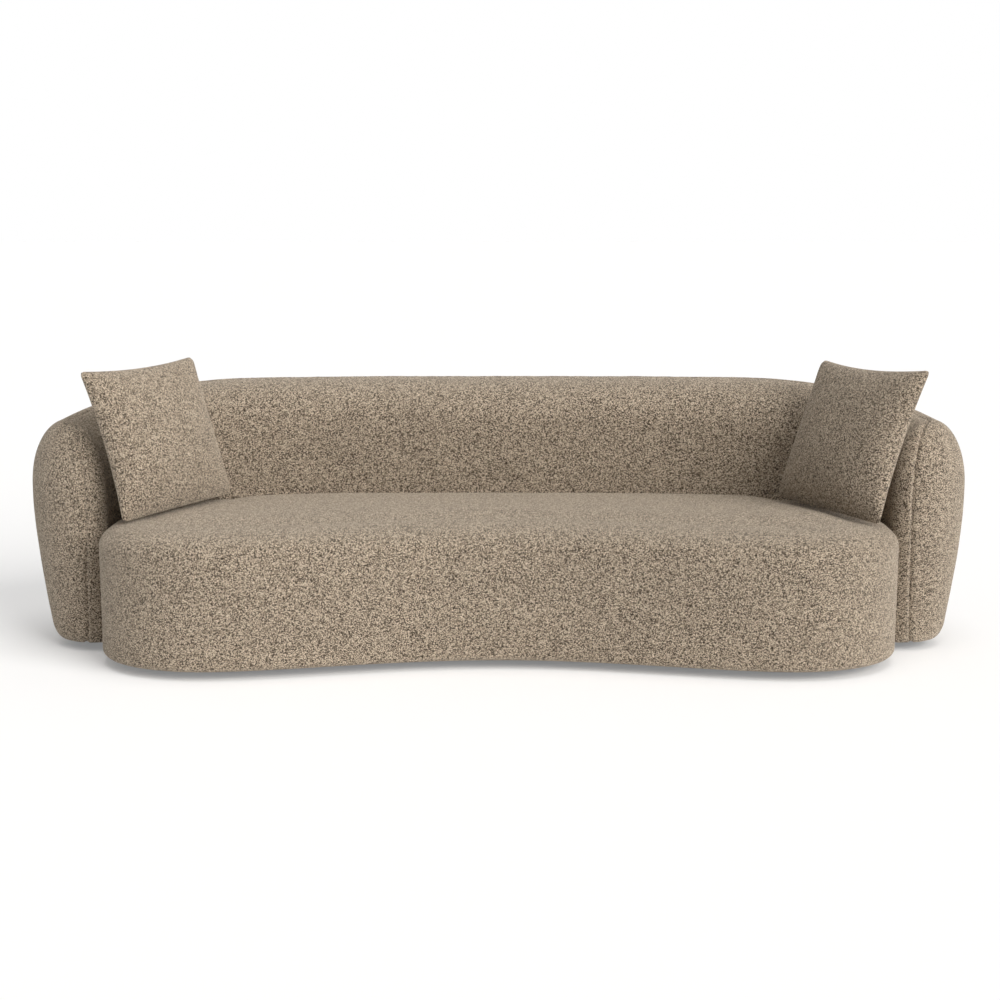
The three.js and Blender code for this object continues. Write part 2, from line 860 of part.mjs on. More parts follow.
// A bent plywood panel on the inner or the outer edges of the ribs.
function backPanel(side) {
  const places = frame_places.filter((place, index) => (
    place.side === side && place.step !== frame_places[(index + 1) % frame_places.length].step
  ));
  const low = frame_low + board_thickness;
  return sheetOf(
    frameRows(places, back_skin, low, underRail),
    frameRows(places, back_skin + panel_thickness, low, underRail),
  );
}

// A round low foot with a flange that is screwed to the board above it.
function foot() {
  const height = frame_low - dust_cover_thickness;
  const profile = [
    [0, 0],
    [foot_radius, 0],
    [foot_radius, height - foot_flange_thickness],
    [foot_flange_radius, height - foot_flange_thickness],
    [foot_flange_radius, height],
    [0, height],
  ];
  return turned(profile, foot_segments);
}

// A closed turned piece from the radius and height of each corner of its profile.
function turned(profile, segments) {
  const points = profile.map(([radius, height]) => new THREE.Vector2(radius, height));
  const lathe = new THREE.LatheGeometry(points, segments).rotateX(Math.PI / 2);
  return weld(trianglesOf(lathe));
}

function coachScrew() {
  const top = frame_low + screw_grip;
  const head_top = floor_gap - plate_thickness;
  return turned([
    [0, head_top - screw_head_height],
    [screw_head_radius, head_top - screw_head_height],
    [screw_head_radius, head_top],
    [screw_radius, head_top],
    [screw_radius, top],
    [0, top],
  ], screw_segments);
}

// The middle and the direction of each joining plate: across the line where seat and back meet.
function plateSeats() {
  return plate_steps.map((step) => ({ middle: back_inner[step], across: rear_outward[step] }));
}

function screwPlaces(seat) {
  return [-1, 1].map((side) => seat.middle.clone().addScaledVector(seat.across, side * screw_spacing / 2));
}

function joiningPlate(seat) {
  const plate = new THREE.BoxGeometry(plate_length, plate_width, plate_thickness);
  plate.rotateZ(Math.atan2(seat.across.y, seat.across.x));
  plate.translate(seat.middle.x, seat.middle.y, floor_gap - plate_thickness / 2);
  return drilled(plate, floor_gap - 2 * plate_thickness, floor_gap + plate_thickness);
}

// A piece with the screw holes that pass through it between two heights.
function drilled(geometry, low, high) {
  geometry.computeBoundingBox();
  const box = geometry.boundingBox;
  const places = plateSeats().flatMap(screwPlaces).filter((place) => (
    place.x > box.min.x && place.x < box.max.x && place.y > box.min.y && place.y < box.max.y
  ));
  return cut(geometry, places.map((place) => screwHole(place, low, high - low)));
}

// The places of the feet: under the front of the seat, the middle of its rear, the arms and the back.
function footPlaces() {
  const under_seat = seat_foot_steps.map((step) => {
    const place = seat_places[step];
    return place.point.clone().addScaledVector(place.inward, foot_setback);
  });
  const across = (1 - outer_taper_share / 2) / 2;
  const under_back = back_foot_steps.map((step) => back_inner[step].clone().lerp(back_outer[step], across));
  return [...under_seat, ...under_back];
}

// A closed cushion shape standing on its bottom edge, with slightly rounded corners, a straight bottom
// edge and the other edges drawn in. Its front is fuller than its back, which it leans on.
function cushionShape(size, thickness, steps) {
  const half = size / 2;
  const spread = (step) => Math.sin(Math.PI / 2 * (2 * step / steps - 1));
  const pointAt = (across, up, face) => {
    const u = spread(across);
    const v = spread(up);
    const puff = Math.max(0, (1 - u * u) * (1 - v * v)) ** cushion_edge_power;
    const rounded = 1 - cushion_corner_share * Math.abs(u * v) ** cushion_corner_power;
    const x = half * u * rounded * (1 - cushion_draw_share * (1 - v * v));
    const sag = cushion_draw_share * (1 - u * u) * (1 + v) / 2;
    const y = half * (1 + v * rounded - sag);
    const depth = face > 0 ? cushion_front_share : 1 - cushion_front_share;
    return new THREE.Vector3(x, y, face * thickness * depth * puff);
  };
  const triangles = [];
  for (let across = 0; across < steps; across += 1) {
    for (let up = 0; up < steps; up += 1) {
      for (const face of [1, -1]) {
        const corners = [
          pointAt(across, up, face),
          pointAt(across + 1, up, face),
          pointAt(across + 1, up + 1, face),
          pointAt(across, up + 1, face),
        ];
        triangles.push(...quad(...(face > 0 ? corners : corners.reverse())));
      }
    }
  }
  return weld(triangles);
}

function cushionCover() {
  const outside = cushionShape(cushion_size, cushion_thickness, cushion_steps);
  const hollow_size = cushion_size - 2 * cushion_seam_allowance;
  const hollow_thickness = cushion_thickness - 2 * cushion_cover_thickness;
  const hollow = cushionShape(hollow_size, hollow_thickness, cushion_inner_steps);
  hollow.translate(0, cushion_seam_allowance, 0);
  const slot_height = cushion_seam_allowance + zip_width;
  const slot = new THREE.BoxGeometry(zip_length, slot_height, zip_width);
  slot.translate(0, slot_height / 2 - zip_width / 2, 0);
  return cut(outside, [hollow, slot]);
}

function cushionInsert() {
  const inset = cushion_seam_allowance + cushion_insert_gap;
  const thickness = cushion_thickness - 2 * (cushion_cover_thickness + cushion_insert_gap);
  const insert = cushionShape(cushion_size - 2 * inset, thickness, cushion_inner_steps);
  return insert.translate(0, inset, 0);
}

function zipTapeBar() {
  const bar = new THREE.BoxGeometry(zip_length - 2 * piece_gap, zip_depth, zip_width - 2 * piece_gap);
  return bar.translate(0, zip_inset + zip_depth / 2, 0);
}

function zipSlider(side) {
  const slider = new THREE.BoxGeometry(slider_length, slider_height, zip_width - 2 * piece_gap);
  const end = (zip_length - slider_length) / 2 - piece_gap;
  return slider.translate(side * end, zip_inset - piece_gap - slider_height / 2, 0);
}

function named(name, geometry, material) {
  const mesh = new THREE.Mesh(geometry, material);
  mesh.name = name;
  return mesh;
}

function seatUnit() {
  const unit = new THREE.Group();
  const board_top = frame_low + board_thickness;
  const drill_high = frame_low + screw_grip + piece_gap;
  const board = seatBoard(frame_low, board_thickness, bottom_board_inset, seat_board_width);
  const hem_inset = seat_bottom_round + hem_width + layer_gap;
  const dust_low = frame_low - dust_cover_thickness;
  const dust = seatBoard(dust_low, dust_cover_thickness, hem_inset, 0);
  unit.add(named('seat_cover', seatCover(), fabric));
  unit.add(named('seat_foam', seatFoam(), foam));
  unit.add(named('seat_border_wadding', seatWadding(), wadding));
  unit.add(named('seat_fascia', seatFascia(), timber));
  unit.add(named('seat_bottom_board', drilled(board, floor_gap, drill_high), timber));
  unit.add(named('seat_dust_cover', drilled(dust, floor_gap, board_top), lining));
  const ring_low = seat_frame_top - board_thickness;
  unit.add(named('seat_top_ring', seatBoard(ring_low, board_thickness, frame_inset, seat_ring_width), timber));
  for (let index = 0; index < seat_rib_count; index += 1) {
    const x = (index - (seat_rib_count - 1) / 2) * seat_rib_spacing;
    unit.add(named(`seat_rib_${index + 1}`, seatRib(x), timber));
  }
  for (let index = 0; index < strap_count; index += 1) {
    const x = (index - (strap_count - 1) / 2) * strap_spacing;
    unit.add(named(`seat_strap_${index + 1}`, seatStrap(x), webbing));
  }
  return unit;
}

function backUnit() {
  const unit = new THREE.Group();
  const drill_high = frame_low + screw_grip + piece_gap;
  unit.add(named('back_inner_cover', backCover(innerCoverPlaces()), fabric));
  unit.add(named('back_outer_cover', backCover(outerCoverPlaces()), fabric));
  unit.add(named('back_foam', backFoam(), foam));
  unit.add(named('back_bottom_board', drilled(backBottomBoard(), floor_gap, drill_high), timber));
  unit.add(named('back_top_rail', backRail(), timber));
  unit.add(named('back_inner_panel', backPanel(0), timber));
  unit.add(named('back_outer_panel', backPanel(1), timber));
  unit.add(named('back_dust_cover', drilled(backDustCover(), floor_gap, drill_high), lining));
  back_rib_steps.forEach((step, index) => {
    unit.add(named(`back_rib_${index + 1}`, backRib(step), timber));
  });
  return unit;
}

function joiningParts() {
  const parts = new THREE.Group();
  plateSeats().forEach((seat, index) => {
    parts.add(named(`joining_plate_${index + 1}`, joiningPlate(seat), steel));
    screwPlaces(seat).forEach((place, side) => {
      const screw = named(`coach_screw_${index * 2 + side + 1}`, coachScrew(), steel);
      screw.position.set(place.x, place.y, 0);
      parts.add(screw);
    });
  });
  return parts;
}

function feet() {
  const set = new THREE.Group();
  footPlaces().forEach((place, index) => {
    const piece = named(`foot_${index + 1}`, foot(), plastic);
    piece.position.set(place.x, place.y, 0);
    set.add(piece);
  });
  return set;
}

// The furthest a piece goes before it meets something, to within the contact gap.
function furthestFree(reach, meets) {
  let free = 0;
  let blocked = reach;
  while (blocked - free > contact_gap) {
    const tried = (free + blocked) / 2;
    [free, blocked] = meets(tried) ? [free, tried] : [tried, blocked];
  }
  return free;
}

// The place where a cushion rests: down on the seat, and pushed into the corner until it meets the back.
function restingPlace(cushion, start, backward, seat, back) {
  const meets = (place, other) => !cushion.translate(place.x, place.y, place.z).intersect(other).isEmpty();
  const lowered = (push) => {
    const place = start.clone().addScaledVector(backward, push);
    const below = (drop) => place.clone().setZ(place.z - drop);
    return below(furthestFree(2 * cushion_drop, (drop) => meets(below(drop), seat)));
  };
  return lowered(furthestFree(2 * cushion_push, (push) => meets(lowered(push), back)));
}

// A loose cushion stands on its bottom edge in a corner, turned to the seat and leaning on the back.
function looseCushion(pose, seat, back) {
  const cover = cushionCover();
  const turn = new THREE.Matrix4().makeRotationZ(THREE.MathUtils.degToRad(-pose.side * pose.yaw));
  turn.multiply(new THREE.Matrix4().makeRotationX(THREE.MathUtils.degToRad(90 - pose.lean)));
  turn.multiply(new THREE.Matrix4().makeRotationZ(THREE.MathUtils.degToRad(-pose.side * pose.roll)));
  const backward = new THREE.Vector3(0, 0, -1).applyMatrix4(turn).setZ(0).normalize();
  const start = new THREE.Vector3(
    pose.side * (seat_width / 2 - pose.from_end),
    back_face_y - pose.from_back,
    seat_height + cushion_drop,
  ).addScaledVector(backward, -cushion_push);
  const turned_cover = toSolid(cover.clone().applyMatrix4(turn));
  const place = restingPlace(turned_cover, start, backward, seat, back);
  const cushion = new THREE.Group();
  cushion.applyMatrix4(turn.setPosition(place));
  cushion.add(named(`${pose.name}_cushion_cover`, cover, fabric));
  cushion.add(named(`${pose.name}_cushion_insert`, cushionInsert(), wadding));
  cushion.add(named(`${pose.name}_cushion_zip`, zipTapeBar(), zipTape));
  cushion.add(named(`${pose.name}_cushion_zip_slider`, zipSlider(pose.side), steel));
  return cushion;
}

function looseCushions() {
  const poses = [
    {
      name: 'left',
      side: -1,
      yaw: left_cushion_yaw,
      lean: left_cushion_lean,
      roll: left_cushion_roll,
      from_end: left_cushion_from_end,
      from_back: left_cushion_from_back,
    },
    {
      name: 'right',
      side: 1,
      yaw: right_cushion_yaw,
      lean: right_cushion_lean,
      roll: right_cushion_roll,
      from_end: right_cushion_from_end,
      from_back: right_cushion_from_back,
    },
  ];
  const seat = toSolid(seatCover());
  const back = toSolid(backCover(innerCoverPlaces())).add(toSolid(backCover(outerCoverPlaces())));
  return poses.map((pose) => looseCushion(pose, seat, back));
}

const sofa = new THREE.Group();
sofa.add(seatUnit(), backUnit(), joiningParts(), feet());
sofa.add(...looseCushions());

export default sofa;
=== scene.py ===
import math

import bmesh
import bpy
import numpy as np
from mathutils import Matrix, Vector, noise
from mathutils.geometry import delaunay_2d_cdt
from mathutils.kdtree import KDTree


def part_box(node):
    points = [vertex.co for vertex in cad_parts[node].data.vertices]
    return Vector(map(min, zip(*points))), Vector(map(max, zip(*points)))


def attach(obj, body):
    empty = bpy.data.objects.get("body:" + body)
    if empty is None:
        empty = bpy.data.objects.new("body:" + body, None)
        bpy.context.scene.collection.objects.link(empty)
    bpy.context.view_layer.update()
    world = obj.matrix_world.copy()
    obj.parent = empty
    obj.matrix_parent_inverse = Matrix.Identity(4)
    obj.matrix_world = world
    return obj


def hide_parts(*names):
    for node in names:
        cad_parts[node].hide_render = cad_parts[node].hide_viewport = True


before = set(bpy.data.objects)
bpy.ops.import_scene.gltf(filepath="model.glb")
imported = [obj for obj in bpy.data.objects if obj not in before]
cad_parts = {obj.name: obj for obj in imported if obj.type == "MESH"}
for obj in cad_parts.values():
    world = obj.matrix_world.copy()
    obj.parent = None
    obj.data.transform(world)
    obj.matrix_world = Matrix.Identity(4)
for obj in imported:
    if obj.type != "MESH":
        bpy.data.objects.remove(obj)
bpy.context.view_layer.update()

# The looks of the curved sofa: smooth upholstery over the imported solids, in the same frame.
# Lengths are in metres and angles in degrees. X runs to the right, Y to the rear and Z up.


# ---------------------------------------------------------------- sizes

# Seat, back and arms, as in the source of the solids
OVERALL_WIDTH, OVERALL_DEPTH = 2.788, 0.943
BACK_HEIGHT, SEAT_HEIGHT, FLOOR_GAP = 0.763, 0.42, 0.024
LOBE_WIDTH, LOBE_DEPTH, LOBE_POWER = 0.325, 0.263, 2.1
FRONT_HOLLOW, HOLLOW_POWER = 0.125, 0.8
REAR_ACROSS_POWER, REAR_DEPTH_POWER = 3.2, 2.6
SPINE_SHARE, REAR_EDGE_BLEND = 0.74, 0.3
SEAT_BOTTOM_ROUND, HEM_WIDTH = 0.02, 0.032
BACK_THICKNESS, ARM_THICKNESS = 0.28, 0.244
NOSE_TIP_SHARE, NOSE_SIDE_SHARE = 0.789, 0.3
ARM_SETBACK, ARM_WIDEST_SETBACK = 0.302, 0.498
OUTER_ACROSS_POWER, OUTER_DEPTH_POWER = 2.5, 2.5
ARM_HEIGHT, BACK_DOME, ARM_DOME, ARM_DROP_START = 0.678, 0.13, 0.2, 0.46
TAPER_SHARE, TAPER_POWER = 0.52, 1.6
OUTER_ROUND, INNER_ROUND, ARM_ROUND, ARM_HEM = 0.25, 0.1, 0.045, 0.1
LAYER_GAP, BOARD_THICKNESS = 0.0004, 0.018
STRAP_COUNT = 7
FOOT_RADIUS, FLANGE_THICKNESS = 0.03, 0.005

# Cushions and their zips, as in the source. The pose is the side, the yaw, the lean and the roll.
CUSHION_SIZE, CUSHION_THICKNESS = 0.445, 0.13
CUSHION_DRAW, CUSHION_EDGE_POWER, CUSHION_FRONT_SHARE = 0.08, 0.6, 0.58
CUSHION_POSES = {"left": (-1, 53.5, 17.5, 2.8), "right": (1, 57.5, 20.0, 2.3)}
ZIP_LENGTH, ZIP_WIDTH, ZIP_INSET = 0.3, 0.005, 0.0065
SLIDER_LENGTH, ZIP_GAP = 0.012, 0.0003

# The seat as it looks: its crown, the lift of all but its front, the reach and the drop of its
# edges, and the dents under the cushions
SEAT_CROWN, SEAT_LIFT, SEAT_LIFT_BLEND = 0.008, 0.008, 0.7
FRONT_EDGE, REAR_EDGE = (0.125, 0.069), (0.02, 0.007)
DENT_REACH, DENT_FADE = 0.05, 0.03

# The seam along the noses and the crown, the fold of the hem into the underside, and the height
# over which unevenness fades towards the hem
SEAM_DEPTH, SEAM_REACH, PUCKER_REACH = 0.0058, 0.005, 0.03
HEM_FOLD, HEM_FADE = 0.003, 0.05

# The cushions as they look: how far air may move them, their share of the full thickness before
# that, the radius of their tips, the power of their faces at the top and at the foot, how far the
# two upper tips are moved to the right and up, and the length over which the zip's lip closes
CUSHION_SWELL, CUSHION_START, CORNER_ROUND = 0.015, 0.97, 0.02
CUSHION_ROUNDNESS, CUSHION_FOOT_ROUNDNESS = 0.38, 0.62
CORNER_SHIFTS = {
    "left": ((0.0, 0.002), (-0.004, -0.012)),
    "right": ((0.006, -0.01), (0.0, 0.016)),
}
ZIP_END_FADE = 0.004

# Unevenness: the length and the height of the waves and their seed, and what a seed shifts them by
SEAT_WAVES = ((0.22, 0.0012, 1), (0.07, 0.0005, 2))
BACK_WAVES = ((0.2, 0.0014, 4), (0.06, 0.0005, 5))
SEAM_PUCKER, DUST_WAVE = (0.02, 0.0012, 3), (0.05, 0.0004, 6)
CUSHION_WAVE, CUSHION_WAVE_SEED = (0.11, 0.6), 9
CUSHION_WAVE_HEIGHT, CUSHION_WAVE_FADE = 0.004, 0.03
SEED_STEPS = (7.3, 3.1, 5.7)

# Dust covers and their staples
DUST_STEP, DUST_SAG, DUST_SAG_REACH, DUST_TURN_IN = 0.028, 0.002, 0.12, 0.005
STAPLE_START, STAPLE_PITCH, STAPLE_INSET = 0.03, 0.058, 0.008
STAPLE_HALF, STAPLE_SHOULDER, STAPLE_WIRE = 0.0055, 0.88, 0.0006

# The outline of a foot: what is added to its radius, and heights. A groove's are from its middle.
FOOT_GLIDE = ((-0.0035, 0), (-0.003, 0.0004), (-0.003, 0.0018), (-0.0012, 0.002), (0, 0.0032))
FOOT_GROOVE = ((0, -0.001), (-0.0008, -0.0004), (-0.0008, 0.0004), (0, 0.001))
FOOT_GROOVE_SHARES = (0.25, 0.5, 0.75)
FOOT_FILLET, FLANGE_EDGE, FLANGE_TOP_EDGE, FELT_HEIGHT = 0.0012, 0.001, 0.0006, 0.0017

# Zip tapes and teeth, from the mouth of the zip inwards and from its middle to the sides
TAPE_START, TAPE_TURN, TAPE_END, TAPE_GAP, TAPE_EDGE = 0.0012, 0.0021, 0.0022, 0.0002, 0.0006
TOOTH_START, TOOTH_PITCH, TOOTH_LENGTH, TOOTH_STAGGER = 0.0012, 0.0026, 0.0011, 0.0013
TOOTH_DEPTH, TOOTH_REACH, TOOTH_LAP, TOOTH_TAPER = 0.0014, 0.0013, 0.0004, 0.0002

# A slider: heights of its two plates, their half outline as shares of its length and width, and
# the blocks of its bridge and its pull as two opposite corners each
SLIDER_PLATES = ((-0.0009, 0), (-0.0026, -0.0018))
PLATE_OUTLINE = ((-1, 0.6), (0.2, 1), (1, 0.9))
SLIDER_BLOCKS = (
    ((-0.001, -0.002, -0.0009), (0.0022, -0.0006, 0.0009)),
    ((-0.0032, -0.0036, -0.0007), (0.0032, -0.0031, 0.0007)),
    ((-0.0032, -0.0035, -0.0007), (-0.0024, -0.0022, 0.0007)),
    ((0.0024, -0.0035, -0.0007), (0.0032, -0.0022, 0.0007)),
    ((-0.0165, -0.0044, -0.0017), (-0.001, -0.0038, 0.0017)),
    ((-0.0018, -0.0044, -0.0017), (-0.001, -0.0029, 0.0017)),
)
TAPE_BEVEL, TOOTH_BEVEL, SLIDER_BEVEL = 0.0001, 0.00015, 0.00018

# Fineness: the solids have 24 steps along the seat, and the upholstery has FINE times as many. A
# curve counts as BEND_REACH longer for each radian that it bends, so steps are shorter there.
COARSE, FINE = 24, 10
STEPS = COARSE * FINE
NOSE_INNER_STEPS, NOSE_OUTER_STEPS = 4 * FINE, 5 * FINE
DENSE, BEND_REACH = 2880, 0.25
SEAT_BOTTOM_ROWS, SEAT_WALL_ROWS, SEAT_EDGE_ROWS, SEAT_TOP_ROWS = 7, 27, 16, 30
BACK_BOTTOM_ROWS, BACK_WALL_ROWS, BACK_UPPER_ROWS, BACK_DOME_ROWS = 10, 30, 8, 24
CUSHION_STEPS, CLOTH_FRAMES = 48, 20
FOOT_STEPS, SHARP_ANGLE = 56, 35
SEAT_MERGE, CUSHION_MERGE, PINNED_REACH, TINY = 0.0005, 0.0002, 0.0003, 1e-9
ONLY_INSIDE, CDT_NEARNESS = 1, 1e-6

FRONT_Y, REAR_Y = -OVERALL_DEPTH / 2, OVERALL_DEPTH / 2
BACK_FACE_Y = REAR_Y - BACK_THICKNESS
SEAT_WIDEST_Y = FRONT_Y + LOBE_DEPTH
SEAT_HALF = OVERALL_WIDTH / 2 - ARM_THICKNESS
LOBE_X = SEAT_HALF - LOBE_WIDTH
TIP_X = OVERALL_WIDTH / 2 - ARM_THICKNESS * NOSE_TIP_SHARE
TIP_Y = FRONT_Y + ARM_SETBACK
WIDEST_Y = FRONT_Y + ARM_WIDEST_SETBACK
WALL_TOP = ARM_HEIGHT - ARM_DOME - 2 * BOARD_THICKNESS

# Camera: the focal length in pixels of the picture, and the sensor's width in millimetres
PICTURE_WIDTH, SENSOR_WIDTH = 1000, 36
CAMERA_FOCAL, CAMERA_TILT = 1795.9, 10.48
CAMERA_PLACE = (0.0038, -5.2897, 1.4072)
CLIP_START, CLIP_END = 0.1, 100

# Stage and light. A lamp is its azimuth from the front to the right, its elevation, its strength
# and its softness.
FLOOR_REACH, FLOOR_WHITE, FLOOR_GLOW, WORLD_STRENGTH = 30, 0.97, 0.2, 0.37
LAMPS = {"key": (48, 26, 2.75, 45), "top": (40, 82, 0.95, 40)}
LAMP_COLOR = (1.0, 0.985, 0.965)

# Fabric: places on the tone ramp with their colours, how dark the painted shade in the gaps between
# the loops is, cells in a metre, the scale and reach of the noise that bends them, the share of the
# loops in the height and of chance in the tone, and the strength, the roughness and the tint of the
# sheen
FABRIC_TONES = ((0.2, (76, 65, 53)), (0.46, (184, 165, 143)), (0.72, (246, 226, 200)))
PAINTED_GAP_SHADE, LOOP_SCALE, STRAND_SCALE = 0.4, 420, 860
LOOP_WARP, STRAND_WARP, LOOP_SHARE, TUFT_SHARE = (400, 0.0008), (600, 0.0008), 0.72, 0.94
SHEEN, SHEEN_TINT = (0.42, 0.5), (1.0, 0.89, 0.75, 1.0)


# ---------------------------------------------------------------- camera

def make_camera():
    data = bpy.data.cameras.new("camera")
    camera = bpy.data.objects.new("camera", data)
    bpy.context.scene.collection.objects.link(camera)
    bpy.context.scene.camera = camera
    data.sensor_fit, data.sensor_width = "HORIZONTAL", SENSOR_WIDTH
    data.lens = CAMERA_FOCAL / PICTURE_WIDTH * SENSOR_WIDTH
    data.clip_start, data.clip_end = CLIP_START, CLIP_END
    camera.location = CAMERA_PLACE
    camera.rotation_euler = (math.radians(90 - CAMERA_TILT), 0, 0)


# ---------------------------------------------------------------- curves and surfaces

def smooth(t):
    t = np.clip(t, 0, 1)
    return t * t * (3 - 2 * t)


def quarter_turn(count):
    return np.linspace(0, np.pi / 2, count)


def shares(count):
    """Even shares of a stretch up to its end, without its start."""
    return np.linspace(0, 1, count)[1:]


def squared_oval(half, depth, centre, across, deep):
    angle = np.pi * (np.arange(DENSE + 1) / DENSE - 0.5)
    x = half * np.sign(np.sin(angle)) * np.abs(np.sin(angle)) ** (2 / across)
    return np.stack([x, centre + depth * np.abs(np.cos(angle)) ** (2 / deep)], 1)


def seat_front_curve():
    angle = np.pi / 2 * np.arange(DENSE) / DENSE
    reach = LOBE_WIDTH * np.cos(angle) ** (2 / LOBE_POWER)
    deep = LOBE_DEPTH * np.sin(angle) ** (2 / LOBE_POWER)
    left = np.stack([-LOBE_X - reach, SEAT_WIDEST_Y - deep], 1)
    share = 2 * np.arange(DENSE + 1) / DENSE - 1
    rise = np.clip((1 + np.cos(np.pi * share)) / 2, 0, None) ** HOLLOW_POWER
    middle = np.stack([LOBE_X * share, FRONT_Y + FRONT_HOLLOW * rise], 1)
    return np.concatenate([left, middle, left[::-1] * [-1, 1]])


def spaced(points, steps):
    """The curve as evenly spread points, closer together where it bends."""
    edge = np.diff(points, axis=0)
    length = np.linalg.norm(edge, axis=1)
    heading = np.unwrap(np.arctan2(edge[:, 1], edge[:, 0]))
    bend = np.abs(np.diff(heading, append=heading[-1]))
    at = np.concatenate([[0], np.cumsum(length + BEND_REACH * bend)])
    wanted = at[-1] * np.arange(steps + 1) / steps
    return np.stack([np.interp(wanted, at, points[:, axis]) for axis in (0, 1)], 1)


def inward_of(points):
    """The way into a closed anticlockwise outline at each of its points."""
    along = np.roll(points, -1, 0) - np.roll(points, 1, 0)
    along /= np.maximum(np.linalg.norm(along, axis=1, keepdims=True), TINY)
    return np.stack([-along[:, 1], along[:, 0]], 1)


def normals_of(rows):
    """The way out of a surface made of closed rows, at each of its points."""
    along = np.roll(rows, -1, 1) - np.roll(rows, 1, 1)
    up = np.gradient(rows, axis=0)
    normal = np.cross(along, up)
    return normal / np.maximum(np.linalg.norm(normal, axis=2, keepdims=True), TINY)


def unevenness(points, length, height, seed):
    """A soft rise and fall of a padded surface, the same in each run."""
    flat = points.reshape(-1, 3)
    shift = Vector([seed * step for step in SEED_STEPS])
    values = [noise.noise(Vector(p) / length + shift) for p in flat]
    return height * np.array(values).reshape(points.shape[:-1])


def distance_to(points, others):
    return np.sqrt(((points[:, None] - others[None]) ** 2).sum(2)).min(1)


# ---------------------------------------------------------------- meshes

def mesh_object(name, points, faces, material):
    """A smooth-shaded object of one material."""
    mesh = bpy.data.meshes.new(name)
    corners = [tuple(map(float, point)) for point in points]
    mesh.from_pydata(corners, [], [tuple(map(int, face)) for face in faces])
    mesh.polygons.foreach_set("use_smooth", [True] * len(mesh.polygons))
    mesh.materials.append(material)
    mesh.update()
    piece = bpy.data.objects.new(name, mesh)
    bpy.context.scene.collection.objects.link(piece)
    return piece


def grid_object(name, rows, closed, material):
    """An object from rows of points that climb on the outside of it, anticlockwise from above."""
    count, width = rows.shape[:2]
    faces = []
    for start in range(0, (count - 1) * width, width):
        for step in range(width if closed else width - 1):
            after = (step + 1) % width
            faces.append((start + step, start + after, start + width + after, start + width + step))
    return mesh_object(name, rows.reshape(-1, 3), faces, material)


def edit(piece, work):
    """Changes the mesh of a piece by a function that takes it as a bmesh."""
    mesh = bmesh.new()
    mesh.from_mesh(piece.data)
    work(mesh)
    mesh.to_mesh(piece.data)
    mesh.free()


def merge(piece, distance):
    edit(piece, lambda mesh: bmesh.ops.remove_doubles(mesh, verts=mesh.verts, dist=distance))


def drop_loose_points(mesh):
    loose = [point for point in mesh.verts if not point.link_faces]
    bmesh.ops.delete(mesh, geom=loose, context="VERTS")


def sharpen(mesh):
    """Edges that turn much are shaded sharp."""
    for edge in mesh.edges:
        flat = edge.calc_face_angle(0) < math.radians(SHARP_ANGLE)
        edge.smooth = not edge.is_manifold or flat


def subdivide(piece):
    modifier = piece.modifiers.new("subdivision", "SUBSURF")
    modifier.levels = modifier.render_levels = 1
    graph = bpy.context.evaluated_depsgraph_get()
    data = bpy.data.meshes.new_from_object(piece.evaluated_get(graph))
    piece.modifiers.remove(modifier)
    piece.data = data


def box_points(low, high, taper=0.0):
    """The corners and the faces of a small block, which may be narrower in x at its lower y."""
    (ax, ay, az), (bx, by, bz) = low, high
    points = [(ax + taper, ay, az), (bx - taper, ay, az), (bx, by, az), (ax, by, az),
              (ax + taper, ay, bz), (bx - taper, ay, bz), (bx, by, bz), (ax, by, bz)]
    faces = [(3, 2, 1, 0), (4, 5, 6, 7), (0, 1, 5, 4), (1, 2, 6, 5), (2, 3, 7, 6), (3, 0, 4, 7)]
    return points, faces


def blocks_object(name, blocks, material, bevel):
    """One piece made of small blocks with bevelled edges."""
    points, faces = [], []
    for block, block_faces in blocks:
        start = len(points)
        points += block
        faces += [tuple(index + start for index in face) for face in block_faces]
    piece = mesh_object(name, points, faces, material)
    edit(piece, lambda mesh: bmesh.ops.bevel(mesh, geom=mesh.edges[:], offset=bevel,
                                             segments=1, affect="EDGES"))
    return piece


def turned(name, profile, centre, material):
    """A piece turned from radii and heights, round an upright line through its centre."""
    angles = 2 * np.pi * np.arange(FOOT_STEPS) / FOOT_STEPS
    x, y, z = centre
    points, rings = [], []
    for radius, height in profile:
        if radius == 0:
            rings.append([len(points)] * FOOT_STEPS)
            points.append((x, y, z + height))
        else:
            rings.append(list(range(len(points), len(points) + FOOT_STEPS)))
            points += [(x + radius * math.cos(angle), y + radius * math.sin(angle), z + height)
                       for angle in angles]
    faces = []
    for low, high in zip(rings, rings[1:]):
        for step in range(FOOT_STEPS):
            after = (step + 1) % FOOT_STEPS
            corners = [low[step], low[after], high[after], high[step]]
            faces.append(list(dict.fromkeys(corners)))
    piece = mesh_object(name, points, faces, material)
    edit(piece, sharpen)
    return piece


# ---------------------------------------------------------------- seat

seat_front = spaced(seat_front_curve(), STEPS)
seat_rear = spaced(squared_oval(SEAT_HALF, BACK_FACE_Y - SEAT_WIDEST_Y, SEAT_WIDEST_Y,
                                REAR_ACROSS_POWER, REAR_DEPTH_POWER), STEPS)


